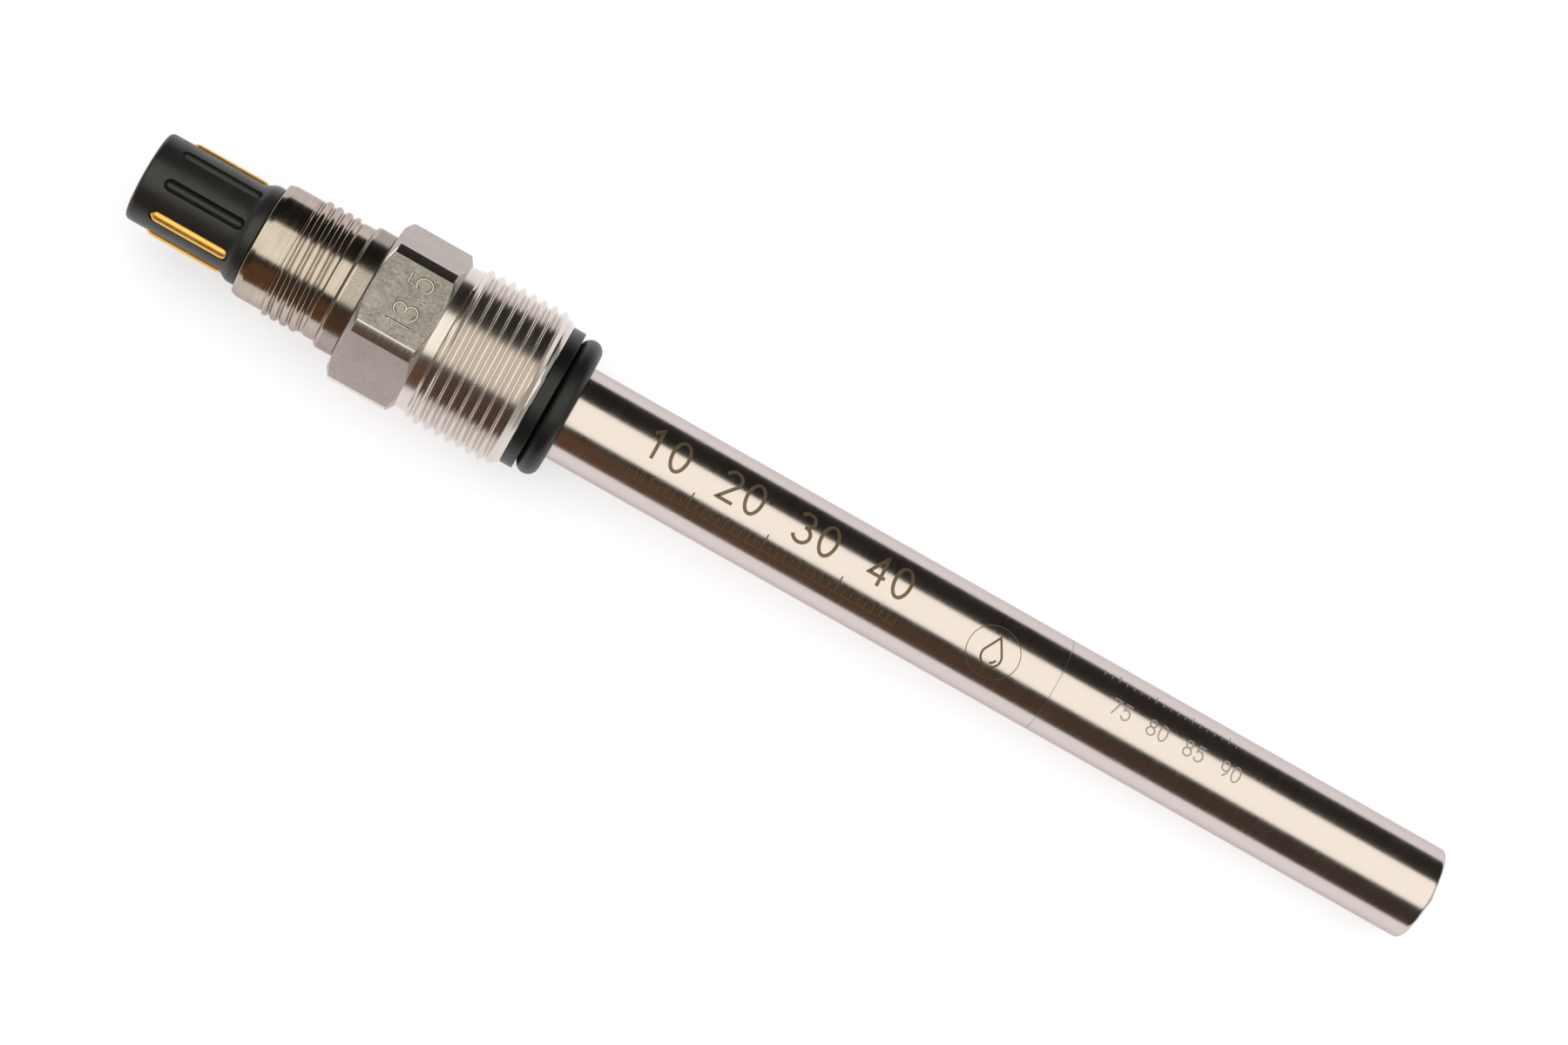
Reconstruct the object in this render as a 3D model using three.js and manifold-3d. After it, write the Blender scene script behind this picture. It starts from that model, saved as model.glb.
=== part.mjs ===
// A 12 mm dissolved-oxygen probe for a PG 13.5 process fitting.
// Millimetres, +Z up. The probe lies along X with its sensing tip at +X and its plug head at -X.
// The origin is on the probe's axis, at the end face of the gland's thread.

import * as THREE from 'three';
import { mergeVertices } from 'three/addons/utils/BufferGeometryUtils.js';
import Module from 'manifold-3d';

// ---- Driving dimensions -------------------------------------------------------------------------

const FIT = 0.15; // clearance between neighbouring pieces
const SMALL_FIT = 0.1; // clearance round the small electrode parts and contacts
const FACETS = 32; // flats round a full turn on the outer pieces
const INNER_FACETS = 24; // flats round a full turn on the hidden pieces
const THREAD_FACETS = 20; // flats round a full turn on the threads
const UNDERCUT = 0.25; // how far a turned blank stays below a thread that is joined to it
const OVERRUN = 1; // how far a cutting solid runs past the face it cuts through
const SUNK = 0.12; // how far a thread's ridge reaches into the core that carries it

// Shaft and insertion length
const SHAFT_RADIUS = 6.0;
const TUBE_BORE_RADIUS = 5.0;
const THRUST_RING_WIDTH = 1.75;
const INSERTION_LENGTH = 120.0; // thrust ring's sealing face to the cap's end face
const TIP_X = THRUST_RING_WIDTH + INSERTION_LENGTH;
const JOINT_X = 70.0; // where the shaft tube ends and the cap sleeve begins
const TUBE_REAR_X = -31.0;

// Gland: hexagon and PG 13.5 thread
const GLAND_REAR_X = -22.85;
const HEX_FRONT_X = -13.8;
const HEX_ACROSS_FLATS = 19.0;
const HEX_CORNER_RADIUS = 10.55;
const HEX_FACE_RADIUS = 9.45; // round edge of the hexagon's end faces, where the chamfers begin
const HEX_CHAMFER = 0.72; // length of those chamfers along X
const NECK_RADIUS = 9.4;
const PG_PITCH = 25.4 / 18;
const PG_CREST_RADIUS = 10.2;
const PG_ROOT_RADIUS = 9.53;
const PG_CRESTS = 8;
const PG_LAST_CREST_X = -1.57;
const PG_END_RADIUS = 9.2;
const GLAND_BORE_RADIUS = 6.25;

// Process seals
const THRUST_RING_RADIUS = 9.05;
const SEAL_SECTION_RADIUS = 1.4;
const SEAL_RING_RADIUS = SHAFT_RADIUS + SMALL_FIT + SEAL_SECTION_RADIUS;
const SEAL_X = THRUST_RING_WIDTH + SMALL_FIT + SEAL_SECTION_RADIUS;

// Head collar and its coupling thread
const COLLAR_REAR_X = -36.9;
const COLLAR_FRONT_X = -23.0;
const COLLAR_RADIUS = 7.4;
const COUPLING_PITCH = 1.27;
const COUPLING_CREST_RADIUS = 7.85;
const COUPLING_ROOT_RADIUS = 7.25;
const COUPLING_CRESTS = 4;
const COUPLING_LAST_CREST_X = -28.0;
const COLLAR_BARREL_RADIUS = 7.5;
const COLLAR_LAND_RADIUS = 8.0;
const COLLAR_LAND_X = -25.4;
const SOCKET_RADIUS = 5.3; // bore that takes the plug body's spigot
const SOCKET_DEPTH = 3.7;
const COLLAR_NECK_RADIUS = 4.5;

// Plug head
const PLUG_REAR_X = -52.0;
const PLUG_RADIUS = 5.69;
const PLUG_BARREL_FRONT_X = -39.0;
const PLUG_FLANGE_RADIUS = 6.4;
const PLUG_FLANGE_X = -38.0;
const PLUG_SPIGOT_RADIUS = 5.1;
const PLUG_SPIGOT_FRONT_X = -33.4;
const PLUG_SEAL_X = -35.2;
const PLUG_SEAL_SECTION = 0.45;
const SLOT_COUNT = 8;
const FIRST_SLOT_ANGLE = 9.4; // degrees about +X, from +Y towards +Z
const CONTACT_SLOTS = [0, 3, 4, 6]; // the slots that hold a contact; the others stay empty
const SLOT_REAR_X = -49.3;
const SLOT_FRONT_X = -38.95;
const SLOT_WIDTH = 1.5;
const SLOT_DEPTH = 0.9;
const CONTACT_WIDTH = 1.65;
const CONTACT_PROUD = 0.38;
const CORE_RADIUS = 3.6;
const CORE_REAR_X = -51.4;
const CORE_FRONT_X = -44.0;
const KEY_WIDTH = 1.2; // key slot in the core's face
const KEY_FLOOR_RADIUS = 1.6;

// Potting and leads
const POTTING_FRONT_X = -24.0;
const LEAD_RADIUS = 0.65;
const LEAD_CIRCLE_RADIUS = 2.2;
const GUIDE_X = 14.0;
const GUIDE_WIDTH = 4.0;

// Threaded nose that carries the cap
const NOSE_REAR_X = 58.0;
const NOSE_BORE_RADIUS = 3.35;
const SPIGOT_RADIUS = 4.3;
const SPIGOT_FRONT_X = 81.5;
const CAP_PITCH = 1.0;
const CAP_THREAD_X = 76.4; // first full crest of the thread between nose and cap
const CAP_TURNS = 4;
const MALE_CREST_RADIUS = 5.0;
const MALE_ROOT_RADIUS = 4.55;
const JOINT_SEAL_SECTION = 0.45;

// Cap sleeve
const SLEEVE_MOUTH_RADIUS = 5.55;
const SLEEVE_CREST_RADIUS = MALE_CREST_RADIUS + SMALL_FIT;
const SLEEVE_ROOT_RADIUS = 5.55;
const SLEEVE_BORE_RADIUS = 5.1;
const SLEEVE_LIP_RADIUS = 4.25;
const SLEEVE_LIP_X = 119.9;
const TIP_ROUNDING = 0.7;
const TIP_CONE = 0.2; // how far the end face rises from its rim to its opening

// Membrane module
const MODULE_REAR_X = 84.0;
const MODULE_RADIUS = 4.95;
const MODULE_BORE_RADIUS = 4.3;
const MODULE_WALL_X = 113.2; // where the wide bore ends and the front wall begins
const MODULE_NOSE_RADIUS = 4.1;
const MODULE_FRONT_X = 121.0;
const MEMBRANE_APEX_X = 123.25;
const MEMBRANE_RADIUS = 2.15;
const MEMBRANE_THICKNESS = 0.3;
const MEMBRANE_FLANGE_RADIUS = 3.4;
const CLAMP_FRONT_X = 122.4;
const CLAMP_RADIUS = 4.0;
const MODULE_SEAL_X = 116.3;
const MODULE_SEAL_SECTION = 0.42;

// Electrode
const ELECTRODE_REAR_X = 56.0;
const ELECTRODE_FRONT_X = 112.0;
const ELECTRODE_STEM_RADIUS = 3.2;
const ELECTRODE_RADIUS = 4.1;
const ANODE_REAR_X = 88.0;
const ANODE_FRONT_X = 106.0;
const ANODE_SEAT_RADIUS = 3.25;
const GLASS_RADIUS = 1.6;
const GLASS_REAR_X = 104.3;
const GLASS_FRONT_X = 122.65;
const CATHODE_RADIUS = 0.3;
const LEAD_BORE_RADIUS = 1.3;
const THERMISTOR_X = 94.0;

// ---- Materials ----------------------------------------------------------------------------------

const finish = (color, roughness, metalness) =>
  new THREE.MeshStandardMaterial({ color, roughness, metalness, flatShading: true });

const MATERIALS = {
  polishedSteel: finish(0xcfc8bf, 0.2, 1.0),
  turnedSteel: finish(0xc4bcb2, 0.3, 1.0),
  groundSteel: finish(0xbcb7aa, 0.42, 1.0),
  blackPlastic: finish(0x2d2c2b, 0.55, 0.0),
  blackRubber: finish(0x232425, 0.6, 0.0),
  gold: finish(0xe0a545, 0.25, 1.0),
  resin: finish(0x6b5a3c, 0.5, 0.0),
  whitePlastic: finish(0xd8d6cf, 0.5, 0.0),
  greyPlastic: finish(0x8c8f92, 0.45, 0.0),
  silver: finish(0xd9d9d6, 0.35, 1.0),
  platinum: finish(0xbdbcb9, 0.25, 1.0),
  glass: finish(0xcfe0da, 0.1, 0.0),
  silicone: finish(0x7c8286, 0.4, 0.0),
  redInsulation: finish(0xa8322a, 0.5, 0.0),
  blueInsulation: finish(0x2f4f93, 0.5, 0.0),
  whiteInsulation: finish(0xd9d6cc, 0.5, 0.0),
};

// ---- Solids: three.js geometry joined and cut with manifold-3d -----------------------------------

const wasm = await Module();
wasm.setup();

// A closed geometry as a solid, with shared corners merged and collapsed triangles dropped.
function solidOf(geometry) {
  const bare = geometry.clone();
  bare.deleteAttribute('normal');
  bare.deleteAttribute('uv');
  const merged = mergeVertices(bare, 1e-4);
  const corners = merged.index.array;
  const kept = [];
  for (let i = 0; i < corners.length; i += 3) {
    const [a, b, c] = corners.slice(i, i + 3);
    if (a !== b && b !== c && c !== a) kept.push(a, b, c);
  }
  const mesh = new wasm.Mesh({
    numProp: 3,
    vertProperties: merged.attributes.position.array,
    triVerts: new Uint32Array(kept),
  });
  return new wasm.Manifold(mesh);
}

function geometryOf(solid) {
  const mesh = solid.getMesh();
  const geometry = new THREE.BufferGeometry();
  geometry.setAttribute('position', new THREE.BufferAttribute(mesh.vertProperties, 3));
  geometry.setIndex(new THREE.BufferAttribute(mesh.triVerts, 1));
  geometry.computeVertexNormals();
  return geometry;
}

// The outline's points are [x, radius] pairs. The outline either starts and ends on the axis or is
// closed here, and it turns once round X.
function turned(outline, facets = FACETS) {
  const points = outline.map(([x, radius]) => new THREE.Vector2(radius, x));
  if (THREE.ShapeUtils.area(points) < 0) points.reverse();
  const onAxis = points[0].x === 0 && points[points.length - 1].x === 0;
  if (!onAxis) points.push(points[0].clone());
  const geometry = new THREE.LatheGeometry(points, facets);
  geometry.rotateZ(-Math.PI / 2);
  return solidOf(geometry);
}

const rod = (x0, x1, radius, facets = INNER_FACETS) =>
  turned([[x0, 0], [x0, radius], [x1, radius], [x1, 0]], facets);

function tube(x0, x1, outerRadius, boreRadius, facets = FACETS) {
  const outline = [[x0, boreRadius], [x0, outerRadius], [x1, outerRadius], [x1, boreRadius]];
  return turned(outline, facets);
}

// A round-section ring, such as an O-ring, centred on the axis at x.
function ring(x, ringRadius, sectionRadius, facets = FACETS, sectionFacets = 10) {
  const geometry = new THREE.TorusGeometry(ringRadius, sectionRadius, sectionFacets, facets);
  geometry.rotateY(Math.PI / 2);
  geometry.translate(x, 0, 0);
  return solidOf(geometry);
}

// A right-handed helical ridge. Its section, [x, radius] points about the crest, is extruded one unit
// of depth for each turn, and the strip is then wound round the axis.
function helicalRidge(section, firstCrestX, pitch, turns) {
  const shape = new THREE.Shape(section.map(([x, radius]) => new THREE.Vector2(x, radius)));
  const steps = Math.round(turns * THREAD_FACETS);
  const geometry = new THREE.ExtrudeGeometry(shape, { depth: turns, steps, bevelEnabled: false });
  const position = geometry.getAttribute('position');
  for (let i = 0; i < position.count; i += 1) {
    const turn = position.getZ(i);
    const angle = 2 * Math.PI * turn;
    const radius = position.getY(i);
    const x = firstCrestX + position.getX(i) + pitch * turn;
    position.setXYZ(i, x, radius * Math.cos(angle), radius * Math.sin(angle));
  }
  return solidOf(geometry);
}

// A V-thread's ridge section: a narrow crest between two flanks whose feet are sunk in the core. The
// crest points away from the axis on an outside thread and towards it on an inside one.
function ridgeSection(pitch, rootRadius, crestRadius) {
  const foot = 0.46 * pitch;
  const land = 0.07 * pitch;
  const sunkRadius = rootRadius + Math.sign(rootRadius - crestRadius) * SUNK;
  const outline = [[-foot, sunkRadius], [foot, sunkRadius], [land, crestRadius], [-land, crestRadius]];
  return crestRadius > rootRadius ? outline : outline.reverse();
}

// A band of thread from x0 to x1 on a core that reaches in (or, on an inside thread, out) to backRadius.
function threadBand({ x0, x1, crestX, pitch, rootRadius, crestRadius, backRadius }) {
  const outside = crestRadius > rootRadius;
  const coreOuterRadius = outside ? rootRadius : backRadius;
  const coreInnerRadius = outside ? backRadius : rootRadius;
  const core = tube(x0, x1, coreOuterRadius, coreInnerRadius, THREAD_FACETS);
  const turnsBefore = Math.ceil((crestX - x0) / pitch) + 1;
  const turns = turnsBefore + Math.ceil((x1 - crestX) / pitch) + 1;
  const section = ridgeSection(pitch, rootRadius, crestRadius);
  const ridge = helicalRidge(section, crestX - turnsBefore * pitch, pitch, turns);
  const outerRadius = Math.max(crestRadius, backRadius) + SMALL_FIT;
  const innerRadius = Math.min(crestRadius, backRadius) - 2 * FIT;
  return core.add(ridge.intersect(tube(x0, x1, outerRadius, innerRadius)));
}

// A shape laid in the XY plane about the origin, raised along Z and swung round the probe's axis.
function radialBlock(shape, lowRadius, highRadius, angleDegrees) {
  const depth = highRadius - lowRadius;
  const geometry = new THREE.ExtrudeGeometry(shape, { depth, bevelEnabled: false, curveSegments: 3 });
  geometry.translate(0, 0, lowRadius);
  geometry.rotateX(THREE.MathUtils.degToRad(angleDegrees - 90));
  return solidOf(geometry);
}

// A slot's outline: straight sides and round ends.
function slotShape(x0, x1, width) {
  const half = width / 2;
  const shape = new THREE.Shape();
  shape.moveTo(x0 + half, -half);
  shape.lineTo(x1 - half, -half);
  shape.absarc(x1 - half, 0, half, -Math.PI / 2, Math.PI / 2, false);
  shape.lineTo(x0 + half, half);
  shape.absarc(x0 + half, 0, half, Math.PI / 2, 1.5 * Math.PI, false);
  return shape;
}

const slotAngle = (slot) => FIRST_SLOT_ANGLE + (360 / SLOT_COUNT) * slot;

// ---- Head ---------------------------------------------------------------------------------------

function plugBody() {
  const rounding = 0.7;
  const sealGroove = PLUG_SEAL_SECTION + SMALL_FIT;
  const grooveRadius = PLUG_SPIGOT_RADIUS - 2 * PLUG_SEAL_SECTION;
  const blank = turned([
    [PLUG_REAR_X, 0],
    [PLUG_REAR_X, PLUG_RADIUS - rounding],
    [PLUG_REAR_X + 0.3 * rounding, PLUG_RADIUS - 0.3 * rounding],
    [PLUG_REAR_X + rounding, PLUG_RADIUS],
    [PLUG_BARREL_FRONT_X, PLUG_RADIUS],
    [PLUG_FLANGE_X, PLUG_FLANGE_RADIUS],
    [COLLAR_REAR_X - FIT, PLUG_FLANGE_RADIUS],
    [COLLAR_REAR_X - FIT, PLUG_SPIGOT_RADIUS],
    [PLUG_SEAL_X - sealGroove, PLUG_SPIGOT_RADIUS],
    [PLUG_SEAL_X - sealGroove, grooveRadius],
    [PLUG_SEAL_X + sealGroove, grooveRadius],
    [PLUG_SEAL_X + sealGroove, PLUG_SPIGOT_RADIUS],
    [PLUG_SPIGOT_FRONT_X, PLUG_SPIGOT_RADIUS],
    [PLUG_SPIGOT_FRONT_X, 0],
  ]);
  let body = blank.subtract(rod(PLUG_REAR_X - OVERRUN, CORE_FRONT_X + FIT, CORE_RADIUS + FIT, FACETS));
  for (let slot = 0; slot < SLOT_COUNT; slot += 1) {
    const holdsContact = CONTACT_SLOTS.includes(slot);
    const spare = holdsContact ? 2 * SMALL_FIT : 0;
    const width = (holdsContact ? CONTACT_WIDTH : SLOT_WIDTH) + spare;
    const shape = slotShape(SLOT_REAR_X - spare / 2, SLOT_FRONT_X + spare / 2, width);
    const topRadius = PLUG_FLANGE_RADIUS + OVERRUN;
    body = body.subtract(radialBlock(shape, PLUG_RADIUS - SLOT_DEPTH, topRadius, slotAngle(slot)));
  }
  return body;
}

// A gilded strip with a crowned top that stands proud of the plug's barrel.
function contactStrip(slot) {
  const shape = slotShape(SLOT_REAR_X, SLOT_FRONT_X, CONTACT_WIDTH);
  const seatRadius = PLUG_RADIUS - SLOT_DEPTH + SMALL_FIT;
  const topRadius = PLUG_RADIUS + CONTACT_PROUD;
  const bar = radialBlock(shape, seatRadius, topRadius, slotAngle(slot));
  const ramp = 1.1;
  const endRadius = PLUG_RADIUS - 0.2;
  const crown = turned([
    [SLOT_REAR_X, 0],
    [SLOT_REAR_X, endRadius],
    [SLOT_REAR_X + ramp, topRadius],
    [SLOT_FRONT_X - ramp, topRadius],
    [SLOT_FRONT_X, endRadius],
    [SLOT_FRONT_X, 0],
  ], 2 * FACETS);
  return bar.intersect(crown);
}

// The insulating core, with a key slot that shows the plug's orientation.
function plugCore() {
  const core = rod(CORE_REAR_X, CORE_FRONT_X, CORE_RADIUS);
  const keyShape = slotShape(CORE_REAR_X - 2 * KEY_WIDTH, CORE_REAR_X + 2 * KEY_WIDTH, KEY_WIDTH);
  return core.subtract(radialBlock(keyShape, KEY_FLOOR_RADIUS, CORE_RADIUS + OVERRUN, 90));
}

function plugSeal() {
  const radius = PLUG_SPIGOT_RADIUS - PLUG_SEAL_SECTION + SMALL_FIT / 2;
  return ring(PLUG_SEAL_X, radius, PLUG_SEAL_SECTION, INNER_FACETS, 6);
}

function headCollar() {
  const chamfer = 0.7;
  const landChamfer = 0.2;
  const threadRearX = COUPLING_LAST_CREST_X - (COUPLING_CRESTS - 0.4) * COUPLING_PITCH;
  const threadFrontX = COUPLING_LAST_CREST_X + 0.2;
  const coreRadius = COUPLING_ROOT_RADIUS - UNDERCUT;
  const blank = turned([
    [COLLAR_REAR_X, SOCKET_RADIUS],
    [COLLAR_REAR_X, COLLAR_RADIUS - 0.6 * chamfer],
    [COLLAR_REAR_X + chamfer, COLLAR_RADIUS],
    [threadRearX, COLLAR_RADIUS],
    [threadRearX, coreRadius],
    [threadFrontX, coreRadius],
    [threadFrontX, COLLAR_BARREL_RADIUS],
    [COLLAR_LAND_X - landChamfer, COLLAR_BARREL_RADIUS],
    [COLLAR_LAND_X, COLLAR_LAND_RADIUS],
    [COLLAR_FRONT_X, COLLAR_LAND_RADIUS],
    [COLLAR_FRONT_X, SHAFT_RADIUS + SMALL_FIT],
    [TUBE_REAR_X - FIT, SHAFT_RADIUS + SMALL_FIT],
    [TUBE_REAR_X - FIT, COLLAR_NECK_RADIUS],
    [COLLAR_REAR_X + SOCKET_DEPTH, COLLAR_NECK_RADIUS],
    [COLLAR_REAR_X + SOCKET_DEPTH, SOCKET_RADIUS],
  ]);
  const thread = threadBand({
    x0: threadRearX,
    x1: threadFrontX,
    crestX: COUPLING_LAST_CREST_X,
    pitch: COUPLING_PITCH,
    rootRadius: COUPLING_ROOT_RADIUS,
    crestRadius: COUPLING_CREST_RADIUS,
    backRadius: SHAFT_RADIUS + 0.5,
  });
  return blank.add(thread);
}

// Cast resin behind the plug, stepped where the collar's neck gives way to the shaft tube.
function potting() {
  const rearX = COLLAR_REAR_X + SOCKET_DEPTH;
  const neckRadius = COLLAR_NECK_RADIUS - FIT;
  const tubeRadius = TUBE_BORE_RADIUS - FIT;
  const outline = [
    [rearX, 0],
    [rearX, neckRadius],
    [TUBE_REAR_X + FIT, neckRadius],
    [TUBE_REAR_X + FIT, tubeRadius],
    [POTTING_FRONT_X, tubeRadius],
    [POTTING_FRONT_X, 0],
  ];
  return turned(outline, INNER_FACETS);
}

// Where a lead or its hole lies, for quarter turn number 0 to 3.
function leadOffset(quarter) {
  const angle = (quarter + 0.5) * (Math.PI / 2);
  return [0, LEAD_CIRCLE_RADIUS * Math.cos(angle), LEAD_CIRCLE_RADIUS * Math.sin(angle)];
}

function lead(quarter) {
  const strand = rod(POTTING_FRONT_X + 2 * FIT, ELECTRODE_REAR_X - 2 * FIT, LEAD_RADIUS, 10);
  return strand.translate(leadOffset(quarter));
}

function leadGuide() {
  let guide = rod(GUIDE_X, GUIDE_X + GUIDE_WIDTH, TUBE_BORE_RADIUS - FIT);
  for (let quarter = 0; quarter < 4; quarter += 1) {
    const holeFrontX = GUIDE_X + GUIDE_WIDTH + OVERRUN;
    const hole = rod(GUIDE_X - OVERRUN, holeFrontX, LEAD_RADIUS + 2 * SMALL_FIT, 12);
    guide = guide.subtract(hole.translate(leadOffset(quarter)));
  }
  return guide;
}

// ---- Process fitting ----------------------------------------------------------------------------

function hexPrism(x0, x1, acrossFlats) {
  const cornerRadius = acrossFlats / Math.sqrt(3);
  const geometry = new THREE.CylinderGeometry(cornerRadius, cornerRadius, x1 - x0, 6);
  geometry.rotateY(Math.PI / 2);
  geometry.rotateZ(-Math.PI / 2);
  geometry.translate((x0 + x1) / 2, 0, 0);
  return solidOf(geometry);
}

function gland() {
  const hexBlank = turned([
    [GLAND_REAR_X, 0],
    [GLAND_REAR_X, HEX_FACE_RADIUS],
    [GLAND_REAR_X + HEX_CHAMFER, HEX_CORNER_RADIUS],
    [HEX_FRONT_X - HEX_CHAMFER, HEX_CORNER_RADIUS],
    [HEX_FRONT_X, HEX_FACE_RADIUS],
    [HEX_FRONT_X, 0],
  ]);
  const prism = hexPrism(GLAND_REAR_X - OVERRUN, HEX_FRONT_X + OVERRUN, HEX_ACROSS_FLATS);
  const threadRearX = PG_LAST_CREST_X - (PG_CRESTS - 0.35) * PG_PITCH;
  const core = turned([
    [HEX_FRONT_X - OVERRUN, 0],
    [HEX_FRONT_X - OVERRUN, NECK_RADIUS],
    [threadRearX, NECK_RADIUS],
    [threadRearX, PG_ROOT_RADIUS - UNDERCUT],
    [0, PG_ROOT_RADIUS - UNDERCUT],
    [0, 0],
  ]);
  const thread = threadBand({
    x0: threadRearX,
    x1: 0,
    crestX: PG_LAST_CREST_X,
    pitch: PG_PITCH,
    rootRadius: PG_ROOT_RADIUS,
    crestRadius: PG_CREST_RADIUS,
    backRadius: GLAND_BORE_RADIUS + 1,
  });
  const chamfered = turned([
    [HEX_FRONT_X - 2 * OVERRUN, 0],
    [HEX_FRONT_X - 2 * OVERRUN, PG_CREST_RADIUS + SMALL_FIT],
    [PG_LAST_CREST_X + SMALL_FIT, PG_CREST_RADIUS + SMALL_FIT],
    [0, PG_END_RADIUS],
    [0, 0],
  ]);
  const screw = core.add(thread).intersect(chamfered);
  const bore = rod(GLAND_REAR_X - OVERRUN, OVERRUN, GLAND_BORE_RADIUS, FACETS);
  return prism.intersect(hexBlank).add(screw).subtract(bore);
}

function thrustRing() {
  const edge = 0.15;
  const boreRadius = SHAFT_RADIUS + FIT;
  return turned([
    [SMALL_FIT, boreRadius],
    [SMALL_FIT, THRUST_RING_RADIUS - edge],
    [SMALL_FIT + edge, THRUST_RING_RADIUS],
    [THRUST_RING_WIDTH - edge, THRUST_RING_RADIUS],
    [THRUST_RING_WIDTH, THRUST_RING_RADIUS - edge],
    [THRUST_RING_WIDTH, boreRadius],
  ]);
}

const sealOring = () => ring(SEAL_X, SEAL_RING_RADIUS, SEAL_SECTION_RADIUS);

// ---- Shaft --------------------------------------------------------------------------------------

const shaftTube = () => tube(TUBE_REAR_X, JOINT_X, SHAFT_RADIUS, TUBE_BORE_RADIUS);

// Pressed into the tube's end: a plain stretch for the joint's O-ring, then the cap's thread.
function shaftNose() {
  const chamfer = 0.3;
  const threadFrontX = CAP_THREAD_X + (CAP_TURNS - 0.2) * CAP_PITCH;
  const blank = turned([
    [NOSE_REAR_X, NOSE_BORE_RADIUS],
    [NOSE_REAR_X, TUBE_BORE_RADIUS - FIT],
    [JOINT_X, TUBE_BORE_RADIUS - FIT],
    [JOINT_X, SPIGOT_RADIUS],
    [SPIGOT_FRONT_X - chamfer, SPIGOT_RADIUS],
    [SPIGOT_FRONT_X, SPIGOT_RADIUS - chamfer],
    [SPIGOT_FRONT_X, NOSE_BORE_RADIUS],
  ], INNER_FACETS);
  const thread = threadBand({
    x0: CAP_THREAD_X,
    x1: threadFrontX,
    crestX: CAP_THREAD_X,
    pitch: CAP_PITCH,
    rootRadius: MALE_ROOT_RADIUS,
    crestRadius: MALE_CREST_RADIUS,
    backRadius: NOSE_BORE_RADIUS + 0.4,
  });
  return blank.add(thread);
}

function jointOring() {
  const x = JOINT_X + 2 * FIT + JOINT_SEAL_SECTION;
  return ring(x, SPIGOT_RADIUS + SMALL_FIT + JOINT_SEAL_SECTION, JOINT_SEAL_SECTION, INNER_FACETS, 6);
}

// ---- Electrode ----------------------------------------------------------------------------------

function innerBody() {
  const glassSeatX = GLASS_REAR_X - FIT;
  const shoulderX = SPIGOT_FRONT_X + 2 * FIT;
  const tipTaperX = ANODE_FRONT_X + 0.8;
  const glassBore = GLASS_RADIUS + SMALL_FIT;
  return turned([
    [ELECTRODE_REAR_X, LEAD_BORE_RADIUS],
    [ELECTRODE_REAR_X, ELECTRODE_STEM_RADIUS],
    [shoulderX, ELECTRODE_STEM_RADIUS],
    [shoulderX, ELECTRODE_RADIUS],
    [ANODE_REAR_X - FIT, ELECTRODE_RADIUS],
    [ANODE_REAR_X - FIT, ANODE_SEAT_RADIUS],
    [tipTaperX, ANODE_SEAT_RADIUS],
    [ELECTRODE_FRONT_X, glassBore + 0.5],
    [ELECTRODE_FRONT_X, glassBore],
    [glassSeatX, glassBore],
    [glassSeatX, LEAD_BORE_RADIUS],
  ], INNER_FACETS);
}

function anodeTube() {
  const boreRadius = ANODE_SEAT_RADIUS + SMALL_FIT;
  return tube(ANODE_REAR_X, ANODE_FRONT_X, ELECTRODE_RADIUS, boreRadius, INNER_FACETS);
}

function glassTip() {
  const rounding = 0.45;
  const bore = CATHODE_RADIUS + SMALL_FIT;
  return turned([
    [GLASS_REAR_X, bore],
    [GLASS_REAR_X, GLASS_RADIUS],
    [GLASS_FRONT_X - rounding, GLASS_RADIUS],
    [GLASS_FRONT_X - 0.3 * rounding, GLASS_RADIUS - 0.8 * rounding],
    [GLASS_FRONT_X, bore],
  ], INNER_FACETS);
}

function cathode() {
  const wireTail = 6;
  const proud = 0.05;
  return rod(GLASS_REAR_X - wireTail, GLASS_FRONT_X + proud, CATHODE_RADIUS, 12);
}

function thermistor() {
  const length = 4;
  const radius = LEAD_BORE_RADIUS - 0.25;
  return turned([
    [THERMISTOR_X - length, 0],
    [THERMISTOR_X - length, radius],
    [THERMISTOR_X, radius],
    [THERMISTOR_X + 0.8, 0.6 * radius],
    [THERMISTOR_X + 1, 0],
  ], 16);
}

// ---- Cap ----------------------------------------------------------------------------------------

function capSleeve() {
  const threadFrontX = CAP_THREAD_X + (CAP_TURNS + 0.2) * CAP_PITCH;
  const blankRootRadius = SLEEVE_ROOT_RADIUS + 0.2;
  const roundingMidpoint = TIP_ROUNDING * (1 - Math.SQRT1_2);
  const blank = turned([
    [JOINT_X + FIT, SLEEVE_MOUTH_RADIUS],
    [JOINT_X + FIT, SHAFT_RADIUS],
    [TIP_X - TIP_ROUNDING, SHAFT_RADIUS],
    [TIP_X - roundingMidpoint, SHAFT_RADIUS - roundingMidpoint],
    [TIP_X, SHAFT_RADIUS - TIP_ROUNDING],
    [TIP_X + TIP_CONE, SLEEVE_LIP_RADIUS],
    [SLEEVE_LIP_X, SLEEVE_LIP_RADIUS],
    [SLEEVE_LIP_X, SLEEVE_BORE_RADIUS],
    [threadFrontX, SLEEVE_BORE_RADIUS],
    [threadFrontX, blankRootRadius],
    [CAP_THREAD_X, blankRootRadius],
    [CAP_THREAD_X, SLEEVE_MOUTH_RADIUS],
  ]);
  const thread = threadBand({
    x0: CAP_THREAD_X,
    x1: threadFrontX,
    crestX: CAP_THREAD_X + CAP_PITCH / 2,
    pitch: CAP_PITCH,
    rootRadius: SLEEVE_ROOT_RADIUS,
    crestRadius: SLEEVE_CREST_RADIUS,
    backRadius: SHAFT_RADIUS - SMALL_FIT,
  });
  return blank.add(thread);
}

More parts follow.
